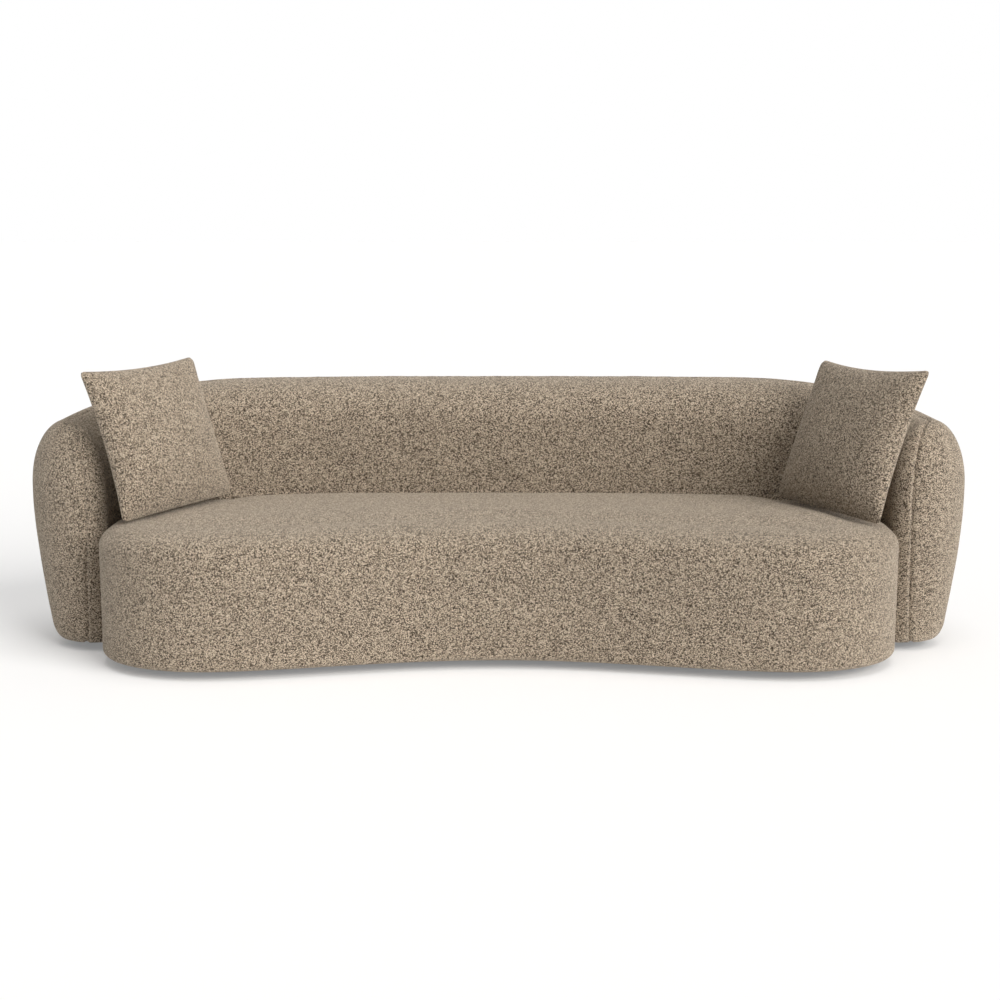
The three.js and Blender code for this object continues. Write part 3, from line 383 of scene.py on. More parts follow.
def seat_rows():
    """The seat as closed rows of points, from the hem below it to the spine of its top."""
    spine = (seat_front + seat_rear) / 2 * [SPINE_SHARE, 1]
    back = np.arange(STEPS - 1, 0, -1)
    outline = np.concatenate([seat_front, seat_rear[back]])
    spines = np.concatenate([spine, spine[back]])
    from_end = np.minimum(back, STEPS - back) / STEPS
    front = np.concatenate([np.ones(STEPS + 1), 1 - smooth(from_end / REAR_EDGE_BLEND)])
    reach = REAR_EDGE[0] + (FRONT_EDGE[0] - REAR_EDGE[0]) * front
    drop = REAR_EDGE[1] + (FRONT_EDGE[1] - REAR_EDGE[1]) * front
    inward = inward_of(outline)

    def row(inset, height, share=0.0):
        place = outline + inward * np.broadcast_to(inset, len(outline))[:, None]
        place = place + (spines - place) * share
        return np.column_stack([place, np.broadcast_to(height, len(outline))])

    rows = [row(SEAT_BOTTOM_ROUND + HEM_WIDTH, FLOOR_GAP + HEM_FOLD),
            row(SEAT_BOTTOM_ROUND + HEM_WIDTH, FLOOR_GAP),
            row(SEAT_BOTTOM_ROUND + HEM_WIDTH / 2, FLOOR_GAP)]
    for angle in quarter_turn(SEAT_BOTTOM_ROWS):
        rows.append(row(SEAT_BOTTOM_ROUND * (1 - math.sin(angle)),
                        FLOOR_GAP + SEAT_BOTTOM_ROUND * (1 - math.cos(angle))))
    low, edge_low = FLOOR_GAP + SEAT_BOTTOM_ROUND, SEAT_HEIGHT - SEAT_CROWN - drop
    for share in shares(SEAT_WALL_ROWS)[:-1]:
        rows.append(row(0, low + (edge_low - low) * share))
    for angle in quarter_turn(SEAT_EDGE_ROWS):
        lift = SEAT_LIFT * (1 - front) * math.sin(angle)
        rows.append(row(reach * (1 - math.cos(angle)), edge_low + drop * math.sin(angle) + lift))
    for share in shares(SEAT_TOP_ROWS):
        lift = SEAT_LIFT * (1 - front * (1 - smooth(share / SEAT_LIFT_BLEND)))
        rows.append(row(reach, SEAT_HEIGHT - SEAT_CROWN * (1 - share) ** 2 + lift, share))
    return np.array(rows)


def dents(points):
    """How far the seat is pressed in where the loose cushions stand on it."""
    depth = np.zeros(points.shape[:-1])
    for name in CUSHION_POSES:
        place = cushion_matrix(name)
        start, end = (np.array(place @ Vector((side * CUSHION_SIZE / 2, 0, 0)))[:2]
                      for side in (-1, 1))
        along = end - start
        share = np.clip(((points[..., :2] - start) @ along) / (along @ along), 0, 1)
        away = np.linalg.norm(points[..., :2] - start - share[..., None] * along, axis=-1)
        depth = np.maximum(depth, np.exp(-(away / DENT_REACH) ** 2))
    return depth * SEAT_LIFT * smooth((points[..., 2] - SEAT_HEIGHT + DENT_FADE) / DENT_FADE)


def make_seat():
    rows = seat_rows()
    lift = sum(unevenness(rows, *wave) for wave in SEAT_WAVES)
    fade = smooth((rows[..., 2] - FLOOR_GAP) / HEM_FADE)
    rows = rows + normals_of(rows) * (lift * fade)[..., None]
    rows[..., 2] -= dents(rows)
    piece = grid_object("seat_upholstery", rows, True, fabric)
    merge(piece, SEAT_MERGE)
    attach(piece, "sofa")
    straps = [f"seat_strap_{index}" for index in range(1, STRAP_COUNT + 1)]
    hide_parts("seat_cover", "seat_foam", "seat_border_wadding", *straps)


# ---------------------------------------------------------------- back and arms

def back_outline():
    """The outline of the back, and for each of its points the side and the crown over it.

    The side is 0 on the inner wall and 1 on the outer one. The last two values are the points
    at the tips of the arms.
    """
    rear_inward = inward_of(seat_rear)
    rear_inward[0], rear_inward[-1] = rear_inward[1], rear_inward[-2]
    inner = (seat_rear + rear_inward * LAYER_GAP)[FINE:STEPS - FINE + 1]
    outer = spaced(squared_oval(OVERALL_WIDTH / 2, REAR_Y - WIDEST_Y, WIDEST_Y,
                                OUTER_ACROSS_POWER, OUTER_DEPTH_POWER), STEPS - 2 * FINE)
    last = len(inner) - 1

    def nose(end, tip_x):
        """Two quarter ovals round the end of an arm, from its inner side to its outer side."""
        (inner_x, inner_y), (outer_x, outer_y) = inner[end], outer[end]
        points, side = [], []
        for share in np.arange(1, NOSE_INNER_STEPS + 1) / NOSE_INNER_STEPS:
            angle = np.pi / 2 * share
            points.append((tip_x + (inner_x - tip_x) * math.cos(angle),
                           inner_y + (TIP_Y - inner_y) * math.sin(angle)))
            side.append(NOSE_SIDE_SHARE * smooth(share))
        for share in np.arange(1, NOSE_OUTER_STEPS) / NOSE_OUTER_STEPS:
            angle = np.pi / 2 * share
            points.append((tip_x + (outer_x - tip_x) * math.sin(angle),
                           outer_y + (TIP_Y - outer_y) * math.cos(angle)))
            side.append(NOSE_SIDE_SHARE + (1 - NOSE_SIDE_SHARE) * share)
        return np.array(points), np.array(side)

    right, right_side = nose(last, TIP_X)
    left, left_side = nose(0, -TIP_X)
    points = np.concatenate([inner, right, outer[::-1], left[::-1]])
    index = np.concatenate([np.arange(last + 1), np.full(len(right), last),
                            np.arange(last, -1, -1), np.zeros(len(left), int)])
    side = np.concatenate([np.zeros(last + 1), right_side, np.ones(last + 1), left_side[::-1]])
    middle = (inner + outer) / 2
    arm = np.abs(np.arange(last + 1) + FINE - STEPS / 2) / (STEPS / 2 - FINE)
    fall = smooth((arm - ARM_DROP_START) / (1 - ARM_DROP_START))
    crown = {
        "middle": middle[index],
        "top": (BACK_HEIGHT + (ARM_HEIGHT - BACK_HEIGHT) * fall)[index],
        "dome": (BACK_DOME + (ARM_DOME - BACK_DOME) * fall)[index],
    }
    return points, side, crown, last + NOSE_INNER_STEPS, len(points) - NOSE_INNER_STEPS


def taper(height):
    """How far the outer wall is drawn in at a height, as a share of the way to the crown line."""
    level = np.clip((height - FLOOR_GAP) / (WALL_TOP - FLOOR_GAP), 0, 1)
    return TAPER_SHARE * (1 - level) ** TAPER_POWER


def back_rows():
    """The back as closed rows of points, from the hem below it to the crown line."""
    points, side, crown, right_tip, left_tip = back_outline()
    dome_low = crown["top"] - crown["dome"]

    def row(height, share):
        height = np.broadcast_to(height, len(points))
        share = np.broadcast_to(share, len(points))[:, None]
        return np.column_stack([points + (crown["middle"] - points) * share, height])

    def wall(height, more=0.0):
        return row(height, side * taper(height) + more)

    round_share = INNER_ROUND + (OUTER_ROUND - INNER_ROUND) * side
    rows = [wall(FLOOR_GAP + HEM_FOLD, round_share + ARM_HEM),
            wall(FLOOR_GAP, round_share + ARM_HEM),
            wall(FLOOR_GAP, round_share + ARM_HEM / 2)]
    for angle in quarter_turn(BACK_BOTTOM_ROWS):
        rows.append(wall(FLOOR_GAP + ARM_ROUND * (1 - math.cos(angle)),
                         round_share * (1 - math.sin(angle))))
    low = FLOOR_GAP + ARM_ROUND
    for share in shares(BACK_WALL_ROWS):
        rows.append(wall(low + (WALL_TOP - low) * share))
    for share in shares(BACK_UPPER_ROWS):
        rows.append(wall(WALL_TOP + (dome_low - WALL_TOP) * share))
    for angle in quarter_turn(BACK_DOME_ROWS)[1:]:
        rows.append(row(dome_low + crown["dome"] * math.sin(angle), 1 - math.cos(angle)))
    return np.array(rows), right_tip, left_tip


def seam_pull(rows, right_tip, left_tip):
    """How far the surface is drawn in beside the seam up the noses and along the crown."""
    seam = np.concatenate([rows[:, right_tip], rows[:, left_tip], rows[-1]])
    tree = KDTree(len(seam))
    for index, point in enumerate(seam):
        tree.insert(point, index)
    tree.balance()
    away = np.array([tree.find(p)[2] for p in rows.reshape(-1, 3)]).reshape(rows.shape[:2])
    pucker = unevenness(rows, *SEAM_PUCKER) * np.exp(-(away / PUCKER_REACH) ** 2)
    return SEAM_DEPTH * np.exp(-(away / SEAM_REACH) ** 2) + pucker


def make_back():
    """The inner and the outer upholstery of the back. It gives the rows of both."""
    rows, right_tip, left_tip = back_rows()
    normal = normals_of(rows)
    normal[-1] = (0, 0, 1)
    lift = sum(unevenness(rows, *wave) for wave in BACK_WAVES)
    fade = smooth((rows[..., 2] - FLOOR_GAP) / HEM_FADE)
    rows = rows + normal * (lift * fade - seam_pull(rows, right_tip, left_tip))[..., None]
    inner_columns = np.r_[left_tip:rows.shape[1], 0:right_tip + 1]
    outer_columns = np.arange(right_tip, left_tip + 1)
    for name, columns, nodes in (
            ("back_inner_upholstery", inner_columns, ("back_inner_cover", "back_foam")),
            ("back_outer_upholstery", outer_columns, ("back_outer_cover",))):
        piece = grid_object(name, rows[:, columns], False, fabric)
        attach(piece, "sofa")
        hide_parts(*nodes)
    return rows


# ---------------------------------------------------------------- undersides

def inside(points, outline):
    """Which points lie inside a closed outline."""
    found = np.zeros(len(points), bool)
    x, y = points[:, 0], points[:, 1]
    for (ax, ay), (bx, by) in zip(outline, np.roll(outline, -1, 0)):
        if ay != by:
            found ^= ((y < ay) != (y < by)) & (x < (bx - ax) * (y - ay) / (by - ay) + ax)
    return found


def centre_of(node):
    low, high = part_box(node)
    return [(a + b) / 2 for a, b in zip(low, high)]


def make_dust_cover(name, outline, node):
    """A thin cloth stapled under a unit, which hangs a little between its edges and the feet."""
    low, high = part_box(node)
    middle = (low[2] + high[2]) / 2
    across = np.arange(low[0], high[0], DUST_STEP)
    deep = np.arange(low[1], high[1], DUST_STEP)
    grid = np.stack(np.meshgrid(across, deep), 2).reshape(-1, 2)
    grid = grid[inside(grid, outline)]
    grid = grid[distance_to(grid, outline) > DUST_STEP / 2]
    points = np.concatenate([outline, grid])
    count = len(outline)
    edges = [(index, (index + 1) % count) for index in range(count)]
    flat, _, faces, _, _, _ = delaunay_2d_cdt([Vector(p) for p in points], edges, [],
                                              ONLY_INSIDE, CDT_NEARNESS)
    flat = np.array([tuple(p) for p in flat])
    held = np.concatenate([outline] + [[centre_of(foot)[:2]] for foot in feet])
    height = middle - DUST_SAG * smooth(distance_to(flat, held) / DUST_SAG_REACH)
    height = height + unevenness(np.column_stack([flat, height]), *DUST_WAVE)
    faces = [face[::-1] for face in faces]
    piece = mesh_object(name, np.column_stack([flat, height]), faces, lining)
    staples = make_staples(f"{name}_staples", outline, high[2] - low[2], middle)
    for part, slot in ((piece, "lining"), (staples, "steel")):
        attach(part, "sofa")
    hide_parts(node)


def make_staples(name, outline, depth, height):
    """Wire staples along the edge of a dust cover: a flat crown with two bent shoulders each."""
    loop = np.concatenate([outline, outline[:1]])
    length = np.concatenate([[0], np.cumsum(np.linalg.norm(np.diff(loop, axis=0), axis=1))])
    inward = inward_of(outline)
    inward = np.concatenate([inward, inward[:1]])
    below = height - depth / 2
    points, faces = [], []
    for at in np.arange(STAPLE_START, length[-1], STAPLE_PITCH):
        place = np.array([np.interp(at, length, loop[:, axis]) for axis in (0, 1)])
        into = np.array([np.interp(at, length, inward[:, axis]) for axis in (0, 1)])
        along = np.array([into[1], -into[0]])
        place = place + into * STAPLE_INSET
        start = len(points)
        for share, drop in ((-1, 0), (-STAPLE_SHOULDER, 1), (STAPLE_SHOULDER, 1), (1, 0)):
            for side, layer in ((-1, 0), (1, 0), (1, 1), (-1, 1)):
                xy = place + along * share * STAPLE_HALF + into * side * STAPLE_WIRE
                points.append((*xy, below - STAPLE_WIRE * drop * (1 - layer) + STAPLE_WIRE * layer))
        for ring in range(3):
            for side in range(4):
                a, b = start + ring * 4 + side, start + ring * 4 + (side + 1) % 4
                faces.append((a, a + 4, b + 4, b))
        faces.append((start, start + 1, start + 2, start + 3))
        faces.append((start + 15, start + 14, start + 13, start + 12))
    return mesh_object(name, points, faces, steel)


def make_foot(node):
    """A turned plastic foot with a flange, chamfered edges, turned grooves and a felt glide."""
    low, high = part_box(node)
    x, y, _ = centre_of(node)
    flange, body, top = (high[0] - low[0]) / 2, FOOT_RADIUS, high[2] - low[2]
    under = top - FLANGE_THICKNESS
    profile = [(0, 0)] + [(body + more, height) for more, height in FOOT_GLIDE]
    for share in FOOT_GROOVE_SHARES:
        profile += [(body + more, share * under + up) for more, up in FOOT_GROOVE]
    profile += [(body, under - FOOT_FILLET), (body + FOOT_FILLET, under),
                (flange - FLANGE_EDGE, under), (flange, under + FLANGE_EDGE),
                (flange, top - FLANGE_TOP_EDGE), (flange - FLANGE_TOP_EDGE, top), (0, top)]
    piece = turned(f"{node}_turned", profile, (x, y, low[2]), plastic)
    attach(piece, "sofa")
    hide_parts(node)
    corners = piece.data.vertices
    for polygon in piece.data.polygons:
        if all(corners[index].co.z - low[2] < FELT_HEIGHT for index in polygon.vertices):
            polygon.material_index = 1
    piece.data.materials.append(felt)


# ---------------------------------------------------------------- cushions

def cushion_faces(tips):
    """The rest shape of a cushion on its bottom edge: the points of its front and its back."""
    spread = np.sin(np.pi / 2 * (2 * np.arange(CUSHION_STEPS + 1) / CUSHION_STEPS - 1))
    u, v = np.meshgrid(spread, spread)
    puff = np.clip((1 - u * u) * (1 - v * v), 0, None) ** CUSHION_EDGE_POWER
    half = CUSHION_SIZE / 2
    past = np.maximum(np.abs([u, v]) * half - half + CORNER_ROUND, 0)
    shrink = past.max(0) / np.maximum(np.hypot(*past), TINY)
    cut = past * np.where(past.min(0) > 0, 1 - shrink, 0) * np.sign([u, v])
    x = (half * u - cut[0]) * (1 - CUSHION_DRAW * (1 - v * v))
    y = half + half * v - cut[1] - half * CUSHION_DRAW * (1 - u * u) * (1 + v) / 2
    for side, (right, up) in zip((-1, 1), tips):
        near = np.clip((1 + side * u) * (1 + v) / 4, 0, 1) ** 2
        x, y = x + right * near, y + up * near
    more_below = (CUSHION_FOOT_ROUNDNESS - CUSHION_ROUNDNESS) * np.clip(-v, 0, 1)
    full = (np.clip(1 - u * u, 0, None) ** CUSHION_ROUNDNESS
            * np.clip(1 - v * v, 0, None) ** (CUSHION_ROUNDNESS + more_below))
    front = CUSHION_THICKNESS * CUSHION_FRONT_SHARE * CUSHION_START * full
    back = -CUSHION_THICKNESS * (1 - CUSHION_FRONT_SHARE) * puff
    lip_share = smooth((ZIP_LENGTH / 2 + ZIP_END_FADE - np.abs(x[0])) / ZIP_END_FADE)
    front[0] = (ZIP_WIDTH / 2 + ZIP_GAP) * lip_share
    back[0] = -front[0]
    return np.stack([x, y, front], 2), np.stack([x, y, back], 2)


def cushion_matrix(name):
    """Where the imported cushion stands: its turn is known and its place is read from its cover."""
    side, yaw, lean, roll = CUSHION_POSES[name]
    turn = (Matrix.Rotation(math.radians(-side * yaw), 3, "Z")
            @ Matrix.Rotation(math.radians(90 - lean), 3, "X")
            @ Matrix.Rotation(math.radians(-side * roll), 3, "Z"))
    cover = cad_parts[f"{name}_cushion_cover"]
    points = np.array([v.co for v in cover.data.vertices]) @ np.array(turn)
    low, high = points.min(0), points.max(0)
    back = CUSHION_THICKNESS * (1 - CUSHION_FRONT_SHARE)
    local = Vector(((low[0] + high[0]) / 2, low[1], low[2] + back))
    return Matrix.Translation(turn @ local) @ turn.to_4x4()


def inflate(piece, pinned):
    """Lets the cushion fill with air for a moment, held at its seams, and gives its points."""
    group = piece.vertex_groups.new(name="seams")
    group.add([int(index) for index in pinned], 1.0, "REPLACE")
    cloth = piece.modifiers.new("cloth", "CLOTH")
    settings = cloth.settings
    settings.quality = 6
    settings.mass = 0.4
    settings.tension_stiffness = settings.compression_stiffness = 25
    settings.shear_stiffness = 8
    settings.bending_stiffness = 2.5
    settings.vertex_group_mass = group.name
    settings.use_pressure = True
    settings.uniform_pressure_force = 4
    settings.effector_weights.gravity = 0
    cloth.collision_settings.use_collision = False
    cloth.point_cache.frame_start, cloth.point_cache.frame_end = 1, CLOTH_FRAMES
    for step in range(1, CLOTH_FRAMES + 1):
        bpy.context.scene.frame_set(step)
    shown = piece.evaluated_get(bpy.context.evaluated_depsgraph_get())
    done = shown.to_mesh()
    moved = np.zeros(len(done.vertices) * 3)
    done.vertices.foreach_get("co", moved)
    shown.to_mesh_clear()
    piece.modifiers.remove(cloth)
    piece.vertex_groups.remove(group)
    bpy.context.scene.frame_set(1)
    return moved.reshape(-1, 3)


def cushion_quads(lip):
    """The faces of a cushion's front and back, and of the zip's pocket where the lip is open."""
    width = CUSHION_STEPS + 1
    grid = width * width
    quads = []
    for up in range(CUSHION_STEPS):
        for across in range(CUSHION_STEPS):
            a = up * width + across
            quads.append((a, a + 1, a + width + 1, a + width))
            b = a + grid
            quads.append((b + width, b + width + 1, b + 1, b))
    for across in range(CUSHION_STEPS):
        if lip[across] > 0 and lip[across + 1] > 0:
            a, b, c = across, across + grid, across + 2 * grid
            quads.append((a + 1, a, c, c + 1))
            quads.append((b, b + 1, c + width + 1, c + width))
    return quads


def make_cushion(name):
    """A knife-edged cushion: two swelling faces sewn together, with an opening for the zip."""
    front, back = cushion_faces(CORNER_SHIFTS[name])
    pocket = np.stack([front[0], back[0]]) + [0, ZIP_INSET + ZIP_WIDTH, 0]
    points = np.concatenate([part.reshape(-1, 3) for part in (front, back, pocket)])
    piece = mesh_object(f"{name}_cushion", points, cushion_quads(front[0, :, 2]), fabric)
    merge(piece, CUSHION_MERGE)
    edit(piece, drop_loose_points)
    rest = np.array([tuple(v.co) for v in piece.data.vertices])
    shape = rest.copy()
    edges = [grid[edge] for grid in (front, back)
             for edge in (np.s_[0], np.s_[-1], np.s_[:, 0], np.s_[:, -1])]
    seam = np.concatenate(edges + list(pocket))
    pinned = np.nonzero(distance_to(rest, seam) < PINNED_REACH)[0]
    shift = inflate(piece, pinned) - rest
    far = np.linalg.norm(shift, axis=1, keepdims=True)
    shape += shift * np.minimum(1, CUSHION_SWELL / np.maximum(far, TINY)) * (rest[:, 2:] > 0)
    height = shape[:, 2]
    side = CUSHION_WAVE_HEIGHT * np.sign(height) * smooth(height / CUSHION_WAVE_FADE)
    seed = CUSHION_POSES[name][0] + CUSHION_WAVE_SEED
    shape[:, 2] += side * unevenness(shape, *CUSHION_WAVE, seed)
    piece.data.vertices.foreach_set("co", shape.ravel())
    subdivide(piece)
    piece.data.transform(cushion_matrix(name))
    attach(piece, f"{name}_cushion")
    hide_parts(f"{name}_cushion_cover", f"{name}_cushion_insert")


def make_zip(name, place):
    """Two woven tapes with a row of nylon teeth on each, set into the opening of the seam."""
    half, reach = ZIP_LENGTH / 2 - ZIP_GAP, ZIP_WIDTH / 2 - ZIP_GAP
    low, high = ZIP_INSET, ZIP_INSET + ZIP_WIDTH
    flat_start, flat_end, turn = low + TAPE_START, low + TAPE_END, low + TAPE_TURN
    tapes = [box_points((-half, flat_start, -reach), (half, flat_end, -TAPE_GAP)),
             box_points((-half, flat_start, TAPE_GAP), (half, flat_end, reach)),
             box_points((-half, turn, -reach), (half, high, -reach + TAPE_EDGE)),
             box_points((-half, turn, reach - TAPE_EDGE), (half, high, reach))]
    tape_piece = blocks_object(f"{name}_zip_tapes", tapes, tape, TAPE_BEVEL)
    teeth = []
    for index in range(int(2 * half / TOOTH_PITCH)):
        x = -half + TOOTH_START + index * TOOTH_PITCH
        for start, left, right in ((x, -TOOTH_REACH, TOOTH_LAP),
                                   (x + TOOTH_STAGGER, -TOOTH_LAP, TOOTH_REACH)):
            teeth.append(box_points((start, low, left),
                                    (start + TOOTH_LENGTH, low + TOOTH_DEPTH, right), TOOTH_TAPER))
    teeth_piece = blocks_object(f"{name}_zip_teeth", teeth, nylon, TOOTH_BEVEL)
    for piece in (tape_piece, teeth_piece):
        piece.data.transform(place)
        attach(piece, f"{name}_cushion")
    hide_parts(f"{name}_cushion_zip")


def make_slider(name, place):
    """A zip slider that narrows to one end, with its bridge, and a flat pull along the zip."""
    side = CUSHION_POSES[name][0]
    half, reach = SLIDER_LENGTH / 2, ZIP_WIDTH / 2 - ZIP_GAP
    top = ZIP_INSET - ZIP_GAP
    outline = [(half * along, edge * reach * across) for edge in (-1, 1)
               for along, across in PLATE_OUTLINE[::-edge]]
    count = len(outline)
    faces = [tuple(range(count)), tuple(range(2 * count - 1, count - 1, -1))]
    faces += [(index, index + count, (index + 1) % count + count, (index + 1) % count)
              for index in range(count)]
    blocks = [([(x, top + level, z) for level in levels for x, z in outline], faces)
              for levels in SLIDER_PLATES]
    blocks += [box_points((ax, top + ay, az), (bx, top + by, bz))
               for (ax, ay, az), (bx, by, bz) in SLIDER_BLOCKS]
    piece = blocks_object(f"{name}_zip_pull", blocks, steel, SLIDER_BEVEL)
    piece.data.transform(Matrix.Scale(side, 4, (1, 0, 0)))
    if side < 0:
        piece.data.flip_normals()
    end = (ZIP_LENGTH - SLIDER_LENGTH) / 2 - ZIP_GAP
    piece.data.transform(place @ Matrix.Translation((side * end, 0, 0)))
    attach(piece, f"{name}_zip_slider")
    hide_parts(f"{name}_cushion_zip_slider")


# ---------------------------------------------------------------- materials

def linear(*color):
    """A colour from its values up to 255, as the renderer takes it."""
    values = [value / 255 for value in color]
    return (*[value / 12.92 if value <= 0.04045 else ((value + 0.055) / 1.055) ** 2.4
              for value in values], 1.0)


class Nodes:
    """A short way to write the nodes of a material or of the world."""

    def __init__(self, owner):
        owner.use_nodes = True
        self.owner, self.tree = owner, owner.node_tree
        self.tree.nodes.clear()

    def add(self, kind, **values):
        node = self.tree.nodes.new(kind)
        for key, value in values.items():
            setattr(node, key, value)
        return node

    def put(self, node, socket, value):
        """Sets a socket, or links it where the value is another node's output."""
        if isinstance(value, bpy.types.NodeSocket):
            self.tree.links.new(value, node.inputs[socket])
        else:
            node.inputs[socket].default_value = value

    def fill(self, kind, sockets, **values):
        """A node with values or links for the sockets that are named."""
        node = self.add(kind, **values)
        for socket, value in sockets.items():
            self.put(node, socket, value)
        return node

    def math(self, operation, first, second):
        return self.fill("ShaderNodeMath", {0: first, 1: second}, operation=operation).outputs[0]

    def vector(self, operation, first, second, socket=1):
        sockets = {0: first, socket: second}
        return self.fill("ShaderNodeVectorMath", sockets, operation=operation).outputs[0]

    def ranged(self, value, low, high, to_low=0.0, to_high=1.0):
        sockets = {"Value": value, "From Min": low, "From Max": high,
                   "To Min": to_low, "To Max": to_high}
        return self.fill("ShaderNodeMapRange", sockets).outputs["Result"]

    def mix(self, factor, first, second, blend="MIX"):
        return self.fill("ShaderNodeMix", {0: factor, 6: first, 7: second},
                         data_type="RGBA", blend_type=blend).outputs[2]

    def multiply(self, color, factor):
        return self.mix(1.0, color, factor, "MULTIPLY")

    def noise(self, place, scale, detail=2.0, roughness=0.5):
        sockets = {"Vector": place, "Scale": scale, "Detail": detail, "Roughness": roughness}
        return self.fill("ShaderNodeTexNoise", sockets)

    def cells(self, place, scale):
        return self.fill("ShaderNodeTexVoronoi", {"Vector": place, "Scale": scale})

    def place(self):
        return self.add("ShaderNodeTexCoord").outputs["Object"]

    def warped(self, place, scale, reach):
        """The place, moved about by a noise."""
        bent = self.noise(place, scale).outputs["Color"]
        centred = self.vector("SUBTRACT", bent, (0.5, 0.5, 0.5))
        return self.vector("ADD", place, self.vector("SCALE", centred, reach, "Scale"))

    def surface(self, color, roughness, height, bump, distance, **values):
        """Ends a material with a surface whose bumps follow the height."""
        bumps = self.fill("ShaderNodeBump",
                          {"Strength": bump, "Distance": distance, "Height": height})
        sockets = {"Base Color": color, "Roughness": roughness, "Normal": bumps.outputs[0]}
        sockets.update({socket.replace("_", " "): value for socket, value in values.items()})
        shader = self.fill("ShaderNodeBsdfPrincipled", sockets)
        self.fill("ShaderNodeOutputMaterial", {0: shader.outputs[0]})
        return self.owner

    def shared(self, first, second, factor, output):
        """Ends the nodes with two shaders that share what each kind of ray meets."""
        shaders = {0: factor, 1: first.outputs[0], 2: second.outputs[0]}
        mixed = self.fill("ShaderNodeMixShader", shaders)
        self.fill(output, {0: mixed.outputs[0]})

    def looked_at(self):
        """1 for a ray from the camera, a gloss or a glass, and 0 for one that lights a surface."""
        path = self.add("ShaderNodeLightPath").outputs
        bounced = self.math("MAXIMUM", path["Is Glossy Ray"], path["Is Transmission Ray"])
        return self.math("MAXIMUM", path["Is Camera Ray"], bounced)


def new_material(name):
    return Nodes(bpy.data.materials.new(name))


def looped_fabric():
    """A thick looped yarn: rounded loops with painted shade in the gaps, tufts of many tones, and a
    soft sheen.
    """
    n = new_material("looped_fabric")
    place = n.place()
    loops = n.cells(n.warped(place, *LOOP_WARP), LOOP_SCALE)
    strands = n.cells(n.warped(place, *STRAND_WARP), STRAND_SCALE)
    clumps = n.noise(place, 48, 3, 0.6)
    broad = n.noise(place, 5)
    loop_height = n.ranged(loops.outputs["Distance"], 0.05, 0.62, 1.0, 0.0)
    strand_height = n.ranged(strands.outputs["Distance"], 0.05, 0.65, 1.0, 0.0)
    height = n.math("ADD", n.math("MULTIPLY", loop_height, LOOP_SHARE),
                    n.math("MULTIPLY", strand_height, 1 - LOOP_SHARE))
    picked = n.fill("ShaderNodeSeparateColor", {0: loops.outputs["Color"]})
    tuft = n.math("ADD", n.math("MULTIPLY", picked.outputs[0], TUFT_SHARE),
                  n.math("MULTIPLY", clumps.outputs["Fac"], 1 - TUFT_SHARE))
    tone = n.fill("ShaderNodeValToRGB", {0: tuft})
    ramp = tone.color_ramp.elements
    (dark_at, dark), (middle_at, middle), (light_at, light) = FABRIC_TONES
    ramp[0].position, ramp[0].color = dark_at, linear(*dark)
    ramp[1].position, ramp[1].color = light_at, linear(*light)
    ramp.new(middle_at).color = linear(*middle)
    # Painted shade: the colour is darkened in the low gaps between the loops, where shade falls.
    shaded = n.multiply(tone.outputs[0], n.ranged(height, 0.18, 0.62, PAINTED_GAP_SHADE, 1.0))
    color = n.multiply(shaded, n.ranged(broad.outputs["Fac"], 0.3, 0.7, 0.98, 1.02))
    rough = n.ranged(height, 0.2, 0.9, 1.0, 0.86)
    return n.surface(color, rough, height, bump=0.7, distance=0.0025, Specular_IOR_Level=0.15,
                     Sheen_Weight=SHEEN[0], Sheen_Roughness=SHEEN[1], Sheen_Tint=SHEEN_TINT)


def plain_cloth(name, color, scale=900.0):
    """A thin woven or felted cloth with a fine crossed weave."""
    n = new_material(name)
    place = n.place()
    weave = n.cells(place, scale).outputs["Distance"]
    patches = n.noise(place, 14, 3)
    woven = n.multiply(color, n.ranged(weave, 0.1, 0.7, 1.05, 0.8))
    mixed = n.multiply(woven, n.ranged(patches.outputs["Fac"], 0.3, 0.7, 0.9, 1.08))
    rough = n.ranged(weave, 0.0, 0.7, 0.85, 1.0)
    return n.surface(mixed, rough, weave, bump=0.35, distance=0.0004, Specular_IOR_Level=0.2)


def plywood():
    """Pale plywood: stretched grain with darker figure and a faint pore texture."""
    n = new_material("plywood")
    grain = n.fill("ShaderNodeMapping", {0: n.place(), "Scale": (3, 3, 30)}).outputs[0]
    figure = n.noise(grain, 4, 5, 0.6).outputs["Fac"]
    pores = n.noise(grain, 60).outputs["Fac"]
    tone = n.mix(n.ranged(figure, 0.35, 0.65), linear(206, 176, 132), linear(178, 144, 100))
    color = n.mix(n.ranged(pores, 0.35, 0.5, 0.25, 0.0), tone, linear(140, 108, 74))
    return n.surface(color, n.ranged(figure, 0.3, 0.7, 0.55, 0.72), pores, bump=0.15,
                     distance=0.0004)


def moulded_plastic():
    """Black moulded plastic with a fine grained skin."""
    n = new_material("moulded_plastic")
    place = n.place()
    grain = n.noise(place, 1400).outputs["Fac"]
    patches = n.noise(place, 30, 3).outputs["Fac"]
    color = n.mix(n.ranged(patches, 0.3, 0.7), linear(26, 26, 27), linear(36, 35, 35))
    return n.surface(color, n.ranged(grain, 0.3, 0.7, 0.42, 0.6), grain, bump=0.2,
                     distance=0.0002)


def zinc_steel():
    """Zinc-plated steel: a faint spangle and fine scratches."""
    n = new_material("zinc_steel")
    place = n.place()
    spangle = n.cells(place, 260).outputs["Distance"]
    scratch = n.noise(place, 700, 3).outputs["Fac"]
    color = n.mix(n.ranged(spangle, 0.1, 0.7), linear(176, 177, 178), linear(150, 151, 152))
    return n.surface(color, n.ranged(scratch, 0.3, 0.7, 0.3, 0.48), scratch, bump=0.1,
                     distance=0.0002, Metallic=1.0)


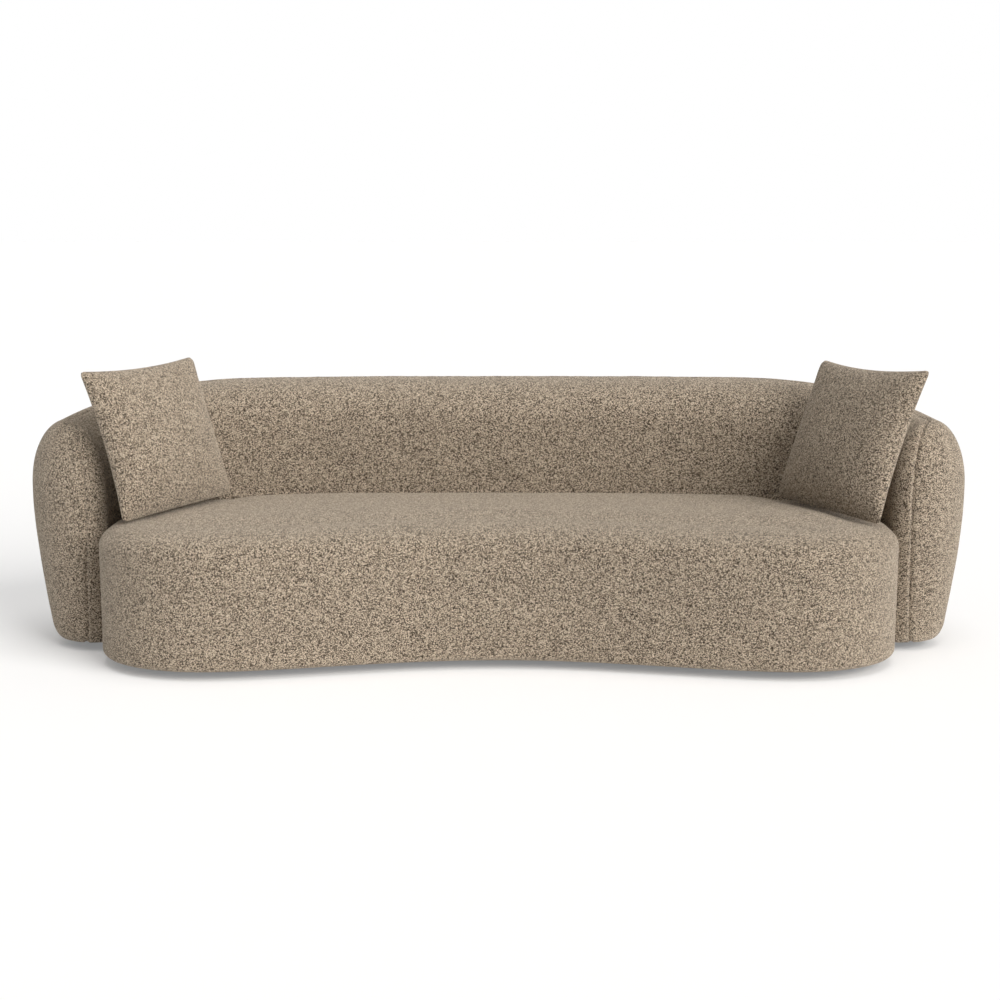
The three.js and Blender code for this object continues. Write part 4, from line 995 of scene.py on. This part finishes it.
def nylon_teeth():
    """Pale nylon with a slight waviness along the teeth."""
    n = new_material("nylon_teeth")
    wave = n.noise(n.place(), 900).outputs["Fac"]
    color = n.mix(n.ranged(wave, 0.35, 0.65), linear(118, 104, 88), linear(134, 120, 102))
    return n.surface(color, n.ranged(wave, 0.3, 0.7, 0.35, 0.5), wave, bump=0.1,
                     distance=0.0002)


def dress_nodes():
    """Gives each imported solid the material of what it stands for."""
    for name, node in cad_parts.items():
        if name.endswith("_slider") or name.startswith(("joining_plate", "coach_screw")):
            material = steel
        elif name.startswith("foot_"):
            material = plastic
        elif name.endswith("_cushion_zip"):
            material = tape
        elif name.endswith("dust_cover") or "strap" in name:
            material = lining
        elif name.endswith(("cover", "foam", "wadding", "insert")):
            material = fabric
        else:
            material = timber
        node.data.materials.clear()
        node.data.materials.append(material)


# ---------------------------------------------------------------- stage and light

def make_stage():
    """A white floor that glows a little where it is looked at, so that it melts into the white."""
    mesh = bpy.data.meshes.new("floor")
    corners = [(x * FLOOR_REACH, y * FLOOR_REACH, 0)
               for x, y in ((-1, -1), (1, -1), (1, 1), (-1, 1))]
    mesh.from_pydata(corners, [], [(0, 1, 2, 3)])
    floor = bpy.data.objects.new("floor", mesh)
    bpy.context.scene.collection.objects.link(floor)
    n = new_material("floor")
    share = n.math("MULTIPLY", n.looked_at(), FLOOR_GLOW)
    paint = n.fill("ShaderNodeBsdfDiffuse", {"Color": (FLOOR_WHITE, FLOOR_WHITE, FLOOR_WHITE, 1)})
    glow = n.fill("ShaderNodeEmission", {"Strength": 1.0})
    n.shared(paint, glow, share, "ShaderNodeOutputMaterial")
    mesh.materials.append(n.owner)


def make_world():
    """A world that is white to look at and dimmer as a light."""
    world = bpy.data.worlds.new("studio")
    bpy.context.scene.world = world
    n = Nodes(world)
    soft, white = (n.fill("ShaderNodeBackground", {"Color": (1, 1, 1, 1), "Strength": strength})
                   for strength in (WORLD_STRENGTH, 1.0))
    n.shared(soft, white, n.looked_at(), "ShaderNodeOutputWorld")


def make_lamp(name, azimuth, elevation, strength, softness):
    turn, rise = math.radians(azimuth), math.radians(elevation)
    source = Vector((math.sin(turn) * math.cos(rise), -math.cos(turn) * math.cos(rise),
                     math.sin(rise)))
    data = bpy.data.lights.new(name, "SUN")
    data.energy = strength
    data.angle = math.radians(softness)
    data.color = LAMP_COLOR
    lamp = bpy.data.objects.new(name, data)
    bpy.context.scene.collection.objects.link(lamp)
    lamp.rotation_euler = source.to_track_quat("Z", "Y").to_euler()


# ---------------------------------------------------------------- the scene

make_camera()
fabric = looped_fabric()
lining = plain_cloth("black_lining", linear(38, 37, 34))
tape = plain_cloth("zip_tape_weave", linear(112, 99, 84))
timber = plywood()
plastic = moulded_plastic()
steel = zinc_steel()
felt = plain_cloth("grey_felt", linear(92, 90, 87), 1600.0)
nylon = nylon_teeth()
feet = [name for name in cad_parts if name.startswith("foot_")]

dress_nodes()
make_seat()
back_surface = make_back()
make_dust_cover("seat_dust_sheet", seat_rows()[0][:, :2], "seat_dust_cover")
make_dust_cover("back_dust_sheet", back_surface[0][:, :2], "back_dust_cover")
for foot in feet:
    make_foot(foot)
for cushion in CUSHION_POSES:
    where = cushion_matrix(cushion)
    make_cushion(cushion)
    make_zip(cushion, where)
    make_slider(cushion, where)
make_stage()
make_world()
for lamp, numbers in LAMPS.items():
    make_lamp(lamp, *numbers)
bpy.context.scene.view_settings.view_transform = "Standard"
